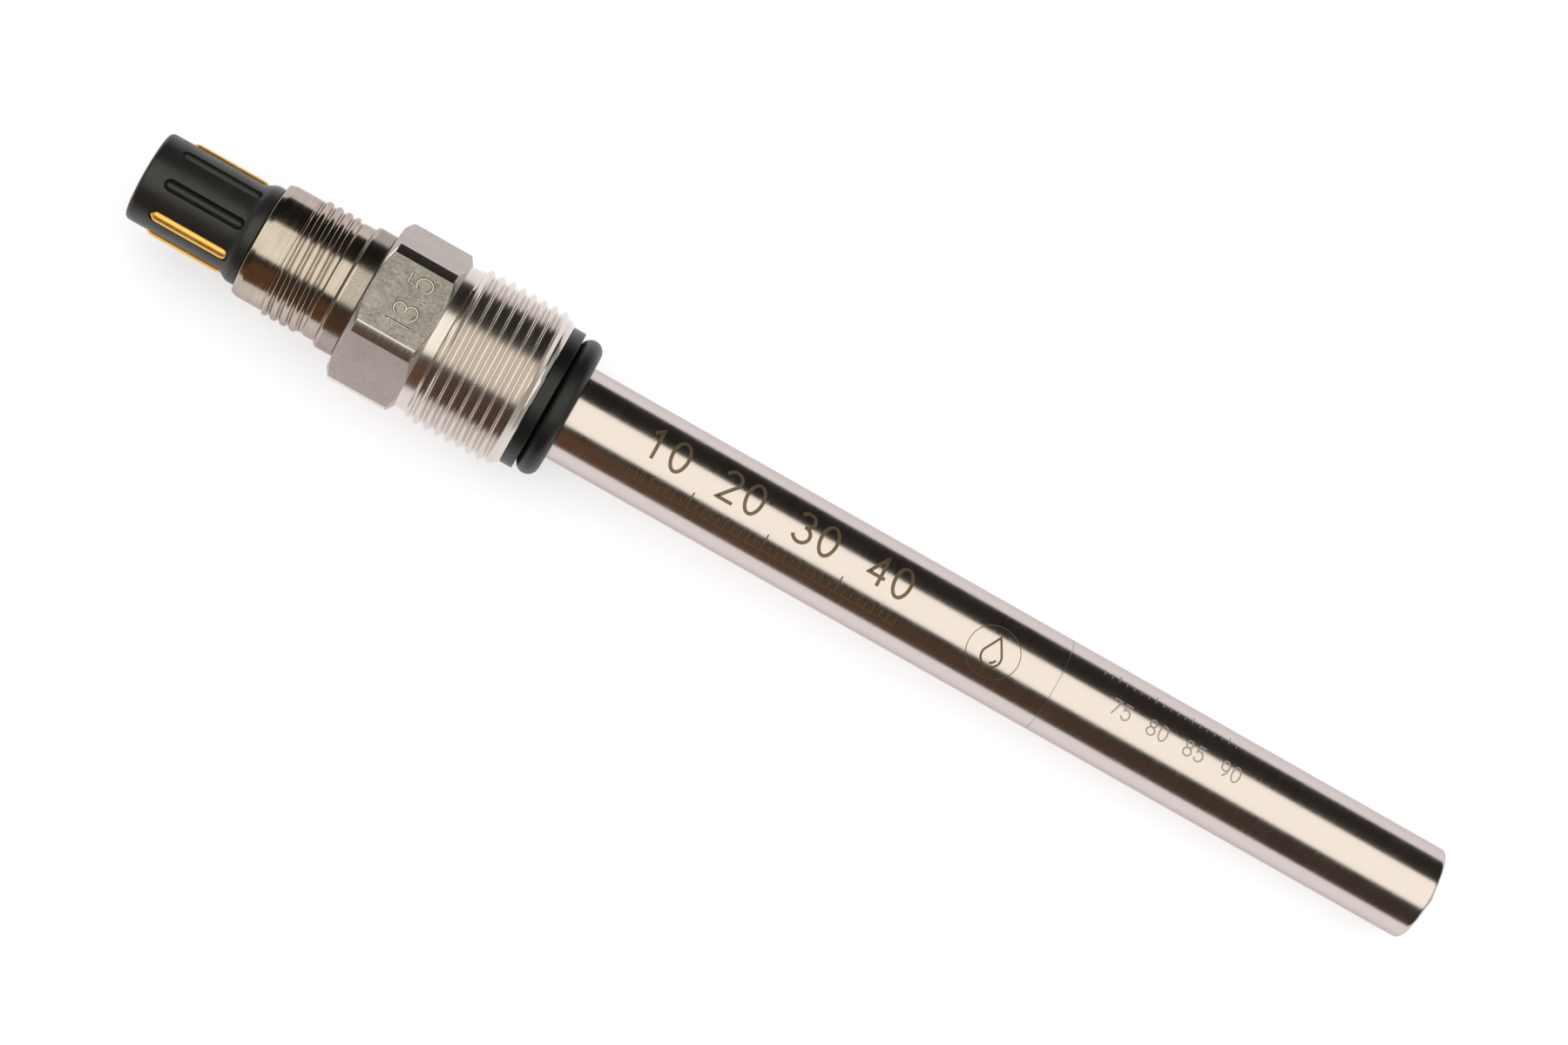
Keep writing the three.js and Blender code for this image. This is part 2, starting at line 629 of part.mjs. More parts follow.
function membraneBody() {
  const grooveRadius = MODULE_RADIUS - 2 * MODULE_SEAL_SECTION;
  const groove = MODULE_SEAL_SECTION + SMALL_FIT;
  const shoulderX = SLEEVE_LIP_X - FIT;
  const frontBore = MEMBRANE_RADIUS + FIT;
  const wallTaper = 0.8;
  return turned([
    [MODULE_REAR_X, MODULE_BORE_RADIUS],
    [MODULE_REAR_X, MODULE_RADIUS],
    [MODULE_SEAL_X - groove, MODULE_RADIUS],
    [MODULE_SEAL_X - groove, grooveRadius],
    [MODULE_SEAL_X + groove, grooveRadius],
    [MODULE_SEAL_X + groove, MODULE_RADIUS],
    [shoulderX, MODULE_RADIUS],
    [shoulderX, MODULE_NOSE_RADIUS],
    [MODULE_FRONT_X, MODULE_NOSE_RADIUS],
    [MODULE_FRONT_X, frontBore],
    [MODULE_WALL_X, frontBore],
    [MODULE_WALL_X - wallTaper, MODULE_BORE_RADIUS],
  ], INNER_FACETS);
}

function membraneOring() {
  const radius = MODULE_RADIUS - MODULE_SEAL_SECTION + SMALL_FIT / 2;
  return ring(MODULE_SEAL_X, radius, MODULE_SEAL_SECTION, INNER_FACETS, 6);
}

// A thin flange under the clamp ring, and a shallow dome over the end of the glass.
function membrane() {
  const flangeX = MODULE_FRONT_X + SMALL_FIT;
  const domeBaseX = CLAMP_FRONT_X - SMALL_FIT;
  const domeHeight = MEMBRANE_APEX_X - domeBaseX;
  const innerRadius = MEMBRANE_RADIUS - MEMBRANE_THICKNESS;
  const arc = (radius, baseX, height, fraction) => {
    const angle = (Math.PI / 2) * fraction;
    return [baseX + height * Math.sin(angle), radius * Math.cos(angle)];
  };
  const innerHeight = domeHeight - MEMBRANE_THICKNESS;
  const outerArc = [0, 0.25, 0.5, 0.75].map((f) => arc(MEMBRANE_RADIUS, domeBaseX, domeHeight, f));
  const innerArc = [0.75, 0.5, 0.25, 0].map((f) => arc(innerRadius, domeBaseX, innerHeight, f));
  return turned([
    [MEMBRANE_APEX_X - MEMBRANE_THICKNESS, 0],
    ...innerArc,
    [flangeX, innerRadius],
    [flangeX, MEMBRANE_FLANGE_RADIUS],
    [flangeX + MEMBRANE_THICKNESS, MEMBRANE_FLANGE_RADIUS],
    [flangeX + MEMBRANE_THICKNESS, MEMBRANE_RADIUS],
    ...outerArc,
    [MEMBRANE_APEX_X, 0],
  ], INNER_FACETS);
}

function clampRing() {
  const rearX = MODULE_FRONT_X + 2 * SMALL_FIT + MEMBRANE_THICKNESS;
  const boreRadius = MEMBRANE_RADIUS + SMALL_FIT;
  const rim = 0.4;
  return turned([
    [rearX, boreRadius],
    [rearX, CLAMP_RADIUS],
    [TIP_X + TIP_CONE, CLAMP_RADIUS],
    [CLAMP_FRONT_X, boreRadius + rim],
    [CLAMP_FRONT_X, boreRadius],
  ]);
}

// ---- Assembly -----------------------------------------------------------------------------------

const probe = new THREE.Group();
probe.name = 'probe';

function add(group, name, solid, material) {
  const mesh = new THREE.Mesh(geometryOf(solid), material.clone());
  mesh.name = name;
  group.add(mesh);
}

function subgroup(name) {
  const group = new THREE.Group();
  group.name = name;
  probe.add(group);
  return group;
}

const head = subgroup('head');
add(head, 'plug_body', plugBody(), MATERIALS.blackPlastic);
CONTACT_SLOTS.forEach((slot, i) => {
  add(head, `contact_strip_${i + 1}`, contactStrip(slot), MATERIALS.gold);
});
add(head, 'plug_core', plugCore(), MATERIALS.greyPlastic);
add(head, 'plug_seal', plugSeal(), MATERIALS.blackRubber);
add(head, 'head_collar', headCollar(), MATERIALS.turnedSteel);
add(head, 'potting', potting(), MATERIALS.resin);
add(head, 'lead_anode', lead(0), MATERIALS.redInsulation);
add(head, 'lead_cathode', lead(1), MATERIALS.blueInsulation);
add(head, 'lead_thermistor_1', lead(2), MATERIALS.whiteInsulation);
add(head, 'lead_thermistor_2', lead(3), MATERIALS.whiteInsulation);
add(head, 'lead_guide', leadGuide(), MATERIALS.whitePlastic);

const fitting = subgroup('process_fitting');
add(fitting, 'gland', gland(), MATERIALS.groundSteel);
add(fitting, 'thrust_ring', thrustRing(), MATERIALS.blackPlastic);
add(fitting, 'seal_oring', sealOring(), MATERIALS.blackRubber);

const shaft = subgroup('shaft');
add(shaft, 'shaft_tube', shaftTube(), MATERIALS.polishedSteel);
add(shaft, 'shaft_nose', shaftNose(), MATERIALS.turnedSteel);
add(shaft, 'joint_oring', jointOring(), MATERIALS.blackRubber);

const electrode = subgroup('electrode');
add(electrode, 'inner_body', innerBody(), MATERIALS.whitePlastic);
add(electrode, 'anode_tube', anodeTube(), MATERIALS.silver);
add(electrode, 'glass_tip', glassTip(), MATERIALS.glass);
add(electrode, 'cathode', cathode(), MATERIALS.platinum);
add(electrode, 'thermistor', thermistor(), MATERIALS.resin);

const cap = subgroup('cap');
add(cap, 'cap_sleeve', capSleeve(), MATERIALS.polishedSteel);
add(cap, 'membrane_body', membraneBody(), MATERIALS.whitePlastic);
add(cap, 'membrane_oring', membraneOring(), MATERIALS.blackRubber);
add(cap, 'membrane', membrane(), MATERIALS.silicone);
add(cap, 'clamp_ring', clampRing(), MATERIALS.turnedSteel);

export default probe;
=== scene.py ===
import math

import bmesh
import bpy
import numpy as np
from mathutils import Matrix, Vector


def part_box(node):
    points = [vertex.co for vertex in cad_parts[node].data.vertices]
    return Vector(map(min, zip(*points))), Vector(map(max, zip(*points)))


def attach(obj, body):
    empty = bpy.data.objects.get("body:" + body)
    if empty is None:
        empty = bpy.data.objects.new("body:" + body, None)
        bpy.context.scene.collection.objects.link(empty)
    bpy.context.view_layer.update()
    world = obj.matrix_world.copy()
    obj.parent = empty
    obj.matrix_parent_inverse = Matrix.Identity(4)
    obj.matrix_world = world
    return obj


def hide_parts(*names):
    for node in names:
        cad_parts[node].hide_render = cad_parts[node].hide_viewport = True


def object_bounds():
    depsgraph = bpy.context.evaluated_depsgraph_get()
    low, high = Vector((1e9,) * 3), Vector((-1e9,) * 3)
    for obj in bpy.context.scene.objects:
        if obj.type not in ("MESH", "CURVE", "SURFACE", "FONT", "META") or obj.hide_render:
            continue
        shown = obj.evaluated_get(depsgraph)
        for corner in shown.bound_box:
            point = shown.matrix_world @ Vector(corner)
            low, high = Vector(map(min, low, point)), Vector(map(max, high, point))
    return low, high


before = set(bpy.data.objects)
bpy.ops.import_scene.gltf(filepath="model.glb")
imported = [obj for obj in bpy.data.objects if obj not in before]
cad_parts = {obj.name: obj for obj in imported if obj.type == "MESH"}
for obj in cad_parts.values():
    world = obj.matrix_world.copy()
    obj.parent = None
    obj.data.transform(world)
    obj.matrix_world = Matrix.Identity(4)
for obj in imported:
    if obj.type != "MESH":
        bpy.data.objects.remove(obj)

CAD_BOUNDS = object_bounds()
MM = 0.001
TAU = 2 * math.pi

# ---- Places, from the CAD nodes' boxes (millimetres) ---------------------------------------------


def span(node):
    """The node's extent along the probe's axis."""
    low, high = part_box(node)
    return low.x / MM, high.x / MM


def reach(node):
    """The node's outer radius."""
    low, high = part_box(node)
    return max(high.y, high.z) / MM


PLUG_REAR, PLUG_FRONT = span("plug_body")
COLLAR_REAR, COLLAR_FRONT = span("head_collar")
GLAND_REAR, GLAND_FRONT = span("gland")
RING_REAR, RING_FRONT = span("thrust_ring")
TUBE_REAR, TUBE_FRONT = span("shaft_tube")
NOSE_REAR, NOSE_FRONT = span("shaft_nose")
SLEEVE_FRONT = span("cap_sleeve")[1]
SHAFT_RADIUS = reach("shaft_tube")
HEX_FLAT = 9.5
HEX_CORNER = 10.55
HEX_LENGTH = 9.05

# ---- Camera --------------------------------------------------------------------------------------

scene = bpy.context.scene
centre = (Vector(CAD_BOUNDS[0]) + Vector(CAD_BOUNDS[1])) / 2
AIM = Vector((centre.x - 2.57 * MM, 1.22 * MM, 0.0))
CAMERA_DISTANCE = 475.3 * MM
CAMERA_AZIMUTH = math.radians(-110.42)
CAMERA_ELEVATION = math.radians(77.86)
CAMERA_ROLL = math.radians(-28.675)

outward = Vector((
    math.cos(CAMERA_ELEVATION) * math.cos(CAMERA_AZIMUTH),
    math.cos(CAMERA_ELEVATION) * math.sin(CAMERA_AZIMUTH),
    math.sin(CAMERA_ELEVATION),
))
level = (-outward).cross(Vector((0, 1, 0))).normalized()
sideways = Matrix.Rotation(CAMERA_ROLL, 3, -outward) @ level
upward = outward.cross(sideways)
camera = bpy.data.objects.new("camera", bpy.data.cameras.new("camera"))
scene.collection.objects.link(camera)
camera.matrix_world = Matrix.Translation(AIM + outward * CAMERA_DISTANCE) @ Matrix(
    (sideways, upward, outward)
).transposed().to_4x4()
camera.data.lens = 92.0
camera.data.sensor_width = 36.0
camera.data.clip_start = 0.01
scene.camera = camera
scene.view_settings.view_transform = "Standard"

# ---- Material helpers ----------------------------------------------------------------------------


def mixed(tree, factor, first, second):
    """A colour between two, by factor. Each colour is a tuple or a node's output."""
    node = tree.nodes.new("ShaderNodeMix")
    node.data_type = "RGBA"
    tree.links.new(factor, node.inputs["Factor"])
    sockets = [socket for socket in node.inputs if socket.type == "RGBA"]
    for socket, colour in zip(sockets, (first, second)):
        if isinstance(colour, tuple):
            socket.default_value = (*colour, 1.0)
        else:
            tree.links.new(colour, socket)
    return next(socket for socket in node.outputs if socket.type == "RGBA")


class Finish:
    """A node material round one Principled shader, with textures laid in the part's own space."""

    def __init__(self, name, **constants):
        self.material = bpy.data.materials.new(name)
        self.material.use_nodes = True
        self.tree = self.material.node_tree
        self.shader = self.tree.nodes["Principled BSDF"]
        for socket, value in constants.items():
            self.shader.inputs[socket.replace("_", " ")].default_value = value
        self.place = self.tree.nodes.new("ShaderNodeTexCoord").outputs["Object"]

    def link(self, source, target):
        self.tree.links.new(source, target)

    def math(self, operation, *values):
        node = self.tree.nodes.new("ShaderNodeMath")
        node.operation = operation
        for socket, value in zip(node.inputs, values):
            if isinstance(value, (int, float)):
                socket.default_value = value
            else:
                self.link(value, socket)
        return node.outputs["Value"]

    def weighted(self, first, first_share, second, second_share):
        return self.math(
            "ADD", self.math("MULTIPLY", first, first_share), self.math("MULTIPLY", second, second_share)
        )

    def coordinate(self, axis):
        split = self.tree.nodes.new("ShaderNodeSeparateXYZ")
        self.link(self.place, split.inputs["Vector"])
        return split.outputs[axis]

    def radius(self):
        across = self.stretched((0.0, 1.0, 1.0))
        node = self.tree.nodes.new("ShaderNodeVectorMath")
        node.operation = "LENGTH"
        self.link(across, node.inputs[0])
        return node.outputs["Value"]

    def along(self):
        """A coordinate along turned surfaces: lines of equal value are rings round the axis."""
        return self.math("ADD", self.coordinate("X"), self.radius())

    def stretched(self, factors):
        """The part's coordinates multiplied by three factors, for grain that runs one way."""
        node = self.tree.nodes.new("ShaderNodeVectorMath")
        node.operation = "MULTIPLY"
        self.link(self.place, node.inputs[0])
        node.inputs[1].default_value = factors
        return node.outputs["Vector"]

    def noise(self, features_per_mm, detail=3.0, vector=None, rings=None, contrast=0.5):
        node = self.tree.nodes.new("ShaderNodeTexNoise")
        node.inputs["Scale"].default_value = features_per_mm / MM
        node.inputs["Detail"].default_value = detail
        node.inputs["Roughness"].default_value = contrast
        if rings is not None:
            node.noise_dimensions = "1D"
            self.link(rings, node.inputs["W"])
        else:
            self.link(vector or self.place, node.inputs["Vector"])
        return node.outputs["Fac"]

    def spread(self, value, low, high, from_low=0.3, from_high=0.7):
        node = self.tree.nodes.new("ShaderNodeMapRange")
        self.link(value, node.inputs["Value"])
        node.inputs["From Min"].default_value = from_low
        node.inputs["From Max"].default_value = from_high
        node.inputs["To Min"].default_value = low
        node.inputs["To Max"].default_value = high
        return node.outputs["Result"]

    def blend(self, factor, first, second):
        return mixed(self.tree, factor, first, second)

    def bump(self, height, depth_um, strength=1.0, under=None):
        node = self.tree.nodes.new("ShaderNodeBump")
        node.inputs["Strength"].default_value = strength
        node.inputs["Distance"].default_value = depth_um * 1e-6
        self.link(height, node.inputs["Height"])
        if under is not None:
            self.link(under, node.inputs["Normal"])
        return node.outputs["Normal"]

    def use(self, socket, value):
        self.link(value, self.shader.inputs[socket])
        return self


METAL_EDGE = (0.70, 0.655, 0.68, 1.0)


def steel(
    name, tone, dark_tone, rough, ring_rough, ring_scale, ring_depth, grain_depth=0.0, satin_and_shade_from=None
):
    """Turned steel: rings of slightly varying tone, gloss and depth, with a faint cloudiness.

    From satin_and_shade_from onwards along the axis (millimetres) the metal is duller, and its tone is
    painted darker: painted shade, as beside the gland's taller hexagon.
    """
    finish = Finish(name, Metallic=1.0, Specular_Tint=METAL_EDGE)
    rings = finish.noise(ring_scale, 4.0, rings=finish.along(), contrast=0.65)
    clouds = finish.noise(0.35, 4.0, contrast=0.6)
    mottle = finish.weighted(rings, 0.6, clouds, 0.4)
    colour = finish.blend(finish.spread(mottle, 0.0, 1.0), dark_tone, tone)
    ring_gloss = finish.spread(rings, rough, rough + ring_rough)
    cloud_gloss = finish.spread(clouds, -0.02, 0.02)
    gloss = finish.math("ADD", ring_gloss, cloud_gloss)
    if satin_and_shade_from is not None:
        edge = 0.05
        # Painted shade: this zone's darker speckled tone stands in for the shade beside the gland's
        # hexagon; its extra roughness is the metal's own.
        satin_and_shade = finish.spread(
            finish.coordinate("X"), 0.0, 1.0, (satin_and_shade_from - edge) * MM, (satin_and_shade_from + edge) * MM
        )
        specks = finish.spread(finish.noise(4.0, 4.0, contrast=0.7), 0.0, 1.0)
        mottled_tone = finish.blend(specks, (0.27, 0.235, 0.205), (0.42, 0.37, 0.325))
        colour = finish.blend(satin_and_shade, colour, mottled_tone)
        gloss = finish.math("ADD", gloss, finish.math("MULTIPLY", satin_and_shade, 0.04))
    finish.use("Base Color", colour)
    finish.use("Roughness", gloss)
    normal = finish.bump(rings, ring_depth)
    if grain_depth:
        normal = finish.bump(finish.noise(9.0, 3.0), grain_depth, under=normal)
    finish.use("Normal", normal)
    return finish.material


def moulded(name, tone, light_tone, rough, grain=6.0, grain_depth=4.0, **constants):
    """Moulded plastic or rubber: a fine even grain and a slow drift in tone and gloss."""
    finish = Finish(name, **constants)
    fine = finish.noise(grain, 3.0)
    drift = finish.noise(0.25, 3.0)
    tone_mix = finish.weighted(fine, 0.5, drift, 0.5)
    finish.use("Base Color", finish.blend(finish.spread(tone_mix, 0.0, 1.0), tone, light_tone))
    finish.use("Roughness", finish.spread(drift, rough - 0.05, rough + 0.05))
    finish.use("Normal", finish.bump(fine, grain_depth))
    return finish.material


STEEL_TONE = (0.63, 0.56, 0.54)
polished_steel = steel("polished_steel", STEEL_TONE, (0.60, 0.535, 0.515), 0.165, 0.05, 2.5, 0.15, 0.7)
turned_steel = steel("turned_steel", (0.58, 0.50, 0.44), (0.37, 0.32, 0.275), 0.15, 0.06, 4.5, 0.35)
# The collar's last 2.1 mm before the gland is duller and painted darker, as painted shade from the gland's
# hexagon.
collar_steel = steel(
    "collar_steel", (0.58, 0.50, 0.44), (0.36, 0.31, 0.265), 0.15, 0.06, 4.5, 0.45,
    satin_and_shade_from=COLLAR_FRONT - 2.1,
)


def gland_steel():
    """Ground steel with a soft, even lustre on the hexagon's flats, and bright turned steel on its lands,
    neck and thread.

    The flat that faces +Z is painted darker and cloudy, a painted shade for the dark room that its wavy
    face would reflect, and the number stamped in it shines.
    """
    finish = Finish("ground_steel", Metallic=1.0)
    hex_front = (GLAND_REAR + HEX_LENGTH) * MM
    past_hex = finish.spread(finish.coordinate("X"), 0.0, 1.0, hex_front - 2e-5, hex_front + 2e-5)
    on_land = finish.spread(finish.radius(), 0.0, 1.0, (HEX_CORNER - 0.05) * MM, (HEX_CORNER - 0.02) * MM)
    turned = finish.math("MAXIMUM", past_hex, on_land)
    rings = finish.noise(4.5, 4.0, rings=finish.along(), contrast=0.65)
    grain = finish.noise(2.2, 6.0, contrast=0.7)
    patches = finish.noise(0.35, 3.0)
    ground = finish.weighted(grain, 0.7, patches, 0.3)
    ground_mix = finish.spread(ground, 0.0, 1.0, 0.35, 0.65)
    mottled_tone = finish.blend(ground_mix, (0.50, 0.445, 0.425), (0.67, 0.60, 0.575))
    up = finish.coordinate("Z")
    aside = finish.math("ABSOLUTE", finish.coordinate("Y"))
    # Painted shade: the flat facing +Z, picked by height, gets a darker cloudy tone for the dark room it
    # would reflect.
    on_top = finish.spread(up, 0.0, 1.0, (HEX_FLAT - 0.18) * MM, (HEX_FLAT - 0.14) * MM)
    stamped = finish.math(
        "MINIMUM",
        finish.spread(up, 0.0, 1.0, (HEX_FLAT - 0.60) * MM, (HEX_FLAT - 0.55) * MM),
        finish.spread(aside, 1.0, 0.0, 5.20 * MM, 5.30 * MM),
    )
    clouds = finish.noise(0.38, 6.0, contrast=0.75)
    cloudy = finish.weighted(clouds, 0.45, grain, 0.55)
    cloudy_painted_shade = finish.blend(
        finish.spread(cloudy, 0.0, 1.0, 0.38, 0.62), (0.20, 0.183, 0.168), (0.52, 0.475, 0.445)
    )
    stamped_tone = finish.blend(on_top, (0.86, 0.80, 0.74), cloudy_painted_shade)
    ground_tone = finish.blend(stamped, mottled_tone, stamped_tone)
    turned_tone = finish.blend(finish.spread(rings, 0.0, 1.0), (0.58, 0.53, 0.49), (0.69, 0.625, 0.595))
    finish.use("Base Color", finish.blend(turned, ground_tone, turned_tone))
    in_stroke = finish.math("MULTIPLY", stamped, finish.math("SUBTRACT", 1.0, on_top))
    flat_gloss = finish.spread(ground, 0.50, 0.62)
    sheen = finish.math("MULTIPLY", finish.math("SUBTRACT", 0.24, flat_gloss), in_stroke)
    ground_gloss = finish.math("ADD", flat_gloss, sheen)
    turned_gloss = finish.spread(rings, 0.20, 0.27)
    difference = finish.math("MULTIPLY", finish.math("SUBTRACT", turned_gloss, ground_gloss), turned)
    finish.use("Roughness", finish.math("ADD", ground_gloss, difference))
    ring_normal = finish.bump(finish.math("MULTIPLY", rings, turned), 0.4)
    ground_height = finish.math("MULTIPLY", ground, finish.math("SUBTRACT", 1.0, turned))
    finish.use("Normal", finish.bump(ground_height, 12.0, under=ring_normal))
    return finish.material


ground_steel = gland_steel()
black_plastic = moulded(
    "black_plastic", (0.0095, 0.0085, 0.0075), (0.016, 0.0148, 0.0135), 0.40, 5.0, 4.0,
    Specular_IOR_Level=0.5,
)
washer_plastic = moulded(
    "washer_plastic", (0.0035, 0.0038, 0.0035), (0.006, 0.0064, 0.006), 0.37, 6.0, 3.0,
    Specular_IOR_Level=0.42,
)
black_rubber = moulded(
    "black_rubber", (0.0048, 0.0052, 0.0048), (0.0085, 0.009, 0.0085), 0.41, 8.0, 2.0,
    Specular_IOR_Level=0.4,
)
grey_plastic = moulded("grey_plastic", (0.24, 0.25, 0.26), (0.30, 0.31, 0.32), 0.45)
white_plastic = moulded("white_plastic", (0.70, 0.69, 0.65), (0.80, 0.79, 0.75), 0.42, 4.0, 2.0)
resin = moulded("resin", (0.10, 0.065, 0.03), (0.19, 0.13, 0.06), 0.25, 1.0, 8.0)
silicone = moulded("silicone", (0.105, 0.105, 0.115), (0.15, 0.15, 0.165), 0.3, 5.0, 2.0, Coat_Weight=0.3)
red_insulation = moulded("red_insulation", (0.42, 0.04, 0.03), (0.52, 0.06, 0.04), 0.4)
blue_insulation = moulded("blue_insulation", (0.04, 0.08, 0.30), (0.06, 0.11, 0.38), 0.4)
white_insulation = moulded("white_insulation", (0.72, 0.71, 0.66), (0.80, 0.79, 0.75), 0.4)
gold = steel("gold", (0.96, 0.60, 0.19), (0.88, 0.50, 0.12), 0.36, 0.06, 1.0, 0.3)
silver = steel("silver", (0.82, 0.81, 0.78), (0.62, 0.61, 0.58), 0.28, 0.10, 4.0, 1.0, 1.0)
platinum = steel("platinum", (0.68, 0.66, 0.63), (0.58, 0.56, 0.53), 0.2, 0.06, 4.0, 0.5)
glass = moulded(
    "glass", (0.80, 0.88, 0.85), (0.86, 0.92, 0.90), 0.08, 0.5, 0.5, Transmission_Weight=0.85, IOR=1.5
)


def etched_ink(name, tone, light_tone):
    """A laser mark: oxidised steel, rougher than the metal round it."""
    finish = Finish(name, Metallic=0.55)
    fine = finish.noise(8.0, 4.0)
    finish.use("Base Color", finish.blend(finish.spread(fine, 0.0, 1.0), tone, light_tone))
    finish.use("Roughness", finish.spread(fine, 0.36, 0.5))
    finish.use("Normal", finish.bump(fine, 2.0))
    return finish.material


olive_mark = etched_ink("olive_mark", (0.125, 0.090, 0.045), (0.175, 0.130, 0.070))
grey_mark = etched_ink("grey_mark", (0.30, 0.265, 0.235), (0.38, 0.34, 0.30))

# ---- Mesh helpers --------------------------------------------------------------------------------

SEGMENTS = 160
SHARP = math.radians(35)
WELD = 2e-7


def add_mesh(name, vertices, faces, material, body, slot, *nodes):
    """A closed mesh from points in millimetres, set up as a piece of the probe."""
    mesh = bpy.data.meshes.new(name)
    mesh.from_pydata([tuple(c * MM for c in v) for v in vertices], [], faces)
    work = bmesh.new()
    work.from_mesh(mesh)
    bmesh.ops.remove_doubles(work, verts=work.verts, dist=WELD)
    bmesh.ops.dissolve_degenerate(work, edges=work.edges, dist=WELD / 4)
    bmesh.ops.recalc_face_normals(work, faces=work.faces)
    work.to_mesh(mesh)
    work.free()
    piece = bpy.data.objects.new(name, mesh)
    scene.collection.objects.link(piece)
    mesh.materials.append(material)
    shade(piece)
    if body:
        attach(piece, body)
        if nodes:
            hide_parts(*nodes)
    return piece


def shade(piece):
    piece.data.shade_smooth()
    piece.data.set_sharp_from_angle(angle=SHARP)


def rounded(outline, cut=0.12, steps=4, closed=True):
    """The outline with an arc for each corner. A point is (x, radius) or (x, radius, its own cut)."""
    count = len(outline)
    points = []
    for i, corner in enumerate(outline):
        here = np.array(corner[:2], float)
        size = corner[2] if len(corner) > 2 else cut
        if size == 0 or (not closed and i in (0, count - 1)):
            points.append(tuple(here))
            continue
        before = np.array(outline[i - 1][:2], float) - here
        after = np.array(outline[(i + 1) % count][:2], float) - here
        length_before = np.hypot(*before)
        length_after = np.hypot(*after)
        size = min(size, 0.42 * length_before, 0.42 * length_after)
        before *= size / length_before
        after *= size / length_after
        points.append(tuple(here + 1.15 * before))
        for t in np.linspace(0.0, 1.0, steps + 1):
            points.append(tuple(here + (1 - t) ** 2 * before + t**2 * after))
        points.append(tuple(here + 1.15 * after))
    return points


def lathe(name, columns, angles, closed, *setup):
    """A mesh through columns of (x, radius) points. The last column closes the turn on the first."""
    rows = len(columns[0])
    vertices = []
    for column, angle in zip(columns, angles):
        across, upright = math.cos(angle), math.sin(angle)
        vertices += [(x, r * across, r * upright) for x, r in column]
    faces = []
    for c in range(len(columns) - 1):
        for j in range(rows if closed else rows - 1):
            k = (j + 1) % rows
            here, there = c * rows, (c + 1) * rows
            faces.append((here + j, here + k, there + k, there + j))
    return add_mesh(name, vertices, faces, *setup)


def turn_angles(segments=SEGMENTS):
    return [TAU * i / segments for i in range(segments + 1)]


def revolve(name, outline, *setup, segments=SEGMENTS):
    """A turned piece. An outline that starts on the axis also ends there; any other is closed."""
    closed = outline[0][1] > 0
    return lathe(name, [outline] * (segments + 1), turn_angles(segments), closed, *setup)


def o_ring(name, node, *setup, rear=None):
    """A ring where its CAD node is. With a rear given, it is thicker and reaches back to there."""
    node_rear, front = span(node)
    rear = node_rear if rear is None else rear
    section = (front - rear) / 2
    ring_radius = reach(node) - section
    turns = [TAU * i / 48 for i in range(48)]
    centre_x = (rear + front) / 2
    outline = [(centre_x + section * math.cos(a), ring_radius + section * math.sin(a)) for a in turns]
    revolve(name, outline, *setup, node)


# Thread sections: distances from the crest in pitches, and the heights there from root (0) to crest (1).
PG_SECTION = ((0.045, 0.085, 0.25, 0.42, 0.465), (1.0, 0.94, 0.50, 0.06, 0.0))
FINE_SECTION = ((0.06, 0.11, 0.235, 0.36, 0.42), (1.0, 0.93, 0.50, 0.07, 0.0))
KNUCKLE_SECTION = ((0.0, 0.11, 0.20, 0.28, 0.35, 0.41, 0.46), (1.0, 0.97, 0.87, 0.68, 0.38, 0.10, 0.0))


def thread_points(angle, x0, x1, crest_x, pitch, root, crest, section=FINE_SECTION, limit=None):
    """One column of a right-hand thread from x0 to x1, with its rows following the helix."""
    offsets, heights = section
    rows = sorted({sign * offset for offset in offsets for sign in (-1, 1)})
    turn = angle / TAU
    first = math.floor((x0 - crest_x) / pitch) - 2
    last = math.ceil((x1 - crest_x) / pitch) + 2
    points = []
    for k in range(first, last + 1):
        for row in rows:
            x = min(max(crest_x + (k + turn + row) * pitch, x0), x1)
            phase = (x - crest_x) / pitch - turn
            distance = abs((phase + 0.5) % 1.0 - 0.5)
            radius = root + (crest - root) * float(np.interp(distance, offsets, heights))
            points.append((x, limit(x, radius) if limit else radius))
    return points


def cut_with(piece, cutter):
    """Takes the cutter out of the piece for good."""
    modifier = piece.modifiers.new("cut", "BOOLEAN")
    modifier.operation = "DIFFERENCE"
    modifier.solver = "EXACT"
    modifier.use_self = True
    modifier.object = cutter
    bpy.context.view_layer.update()
    result = piece.evaluated_get(bpy.context.evaluated_depsgraph_get())
    mesh = bpy.data.meshes.new_from_object(result)
    piece.modifiers.clear()
    piece.data = mesh
    bpy.data.objects.remove(cutter)
    shade(piece)


# ---- Strokes for numerals and marks --------------------------------------------------------------


def arc(cx, cy, rx, ry, start, end, steps=14):
    angles = np.radians(np.linspace(start, end, steps))
    return [(cx + rx * math.cos(a), cy + ry * math.sin(a)) for a in angles]


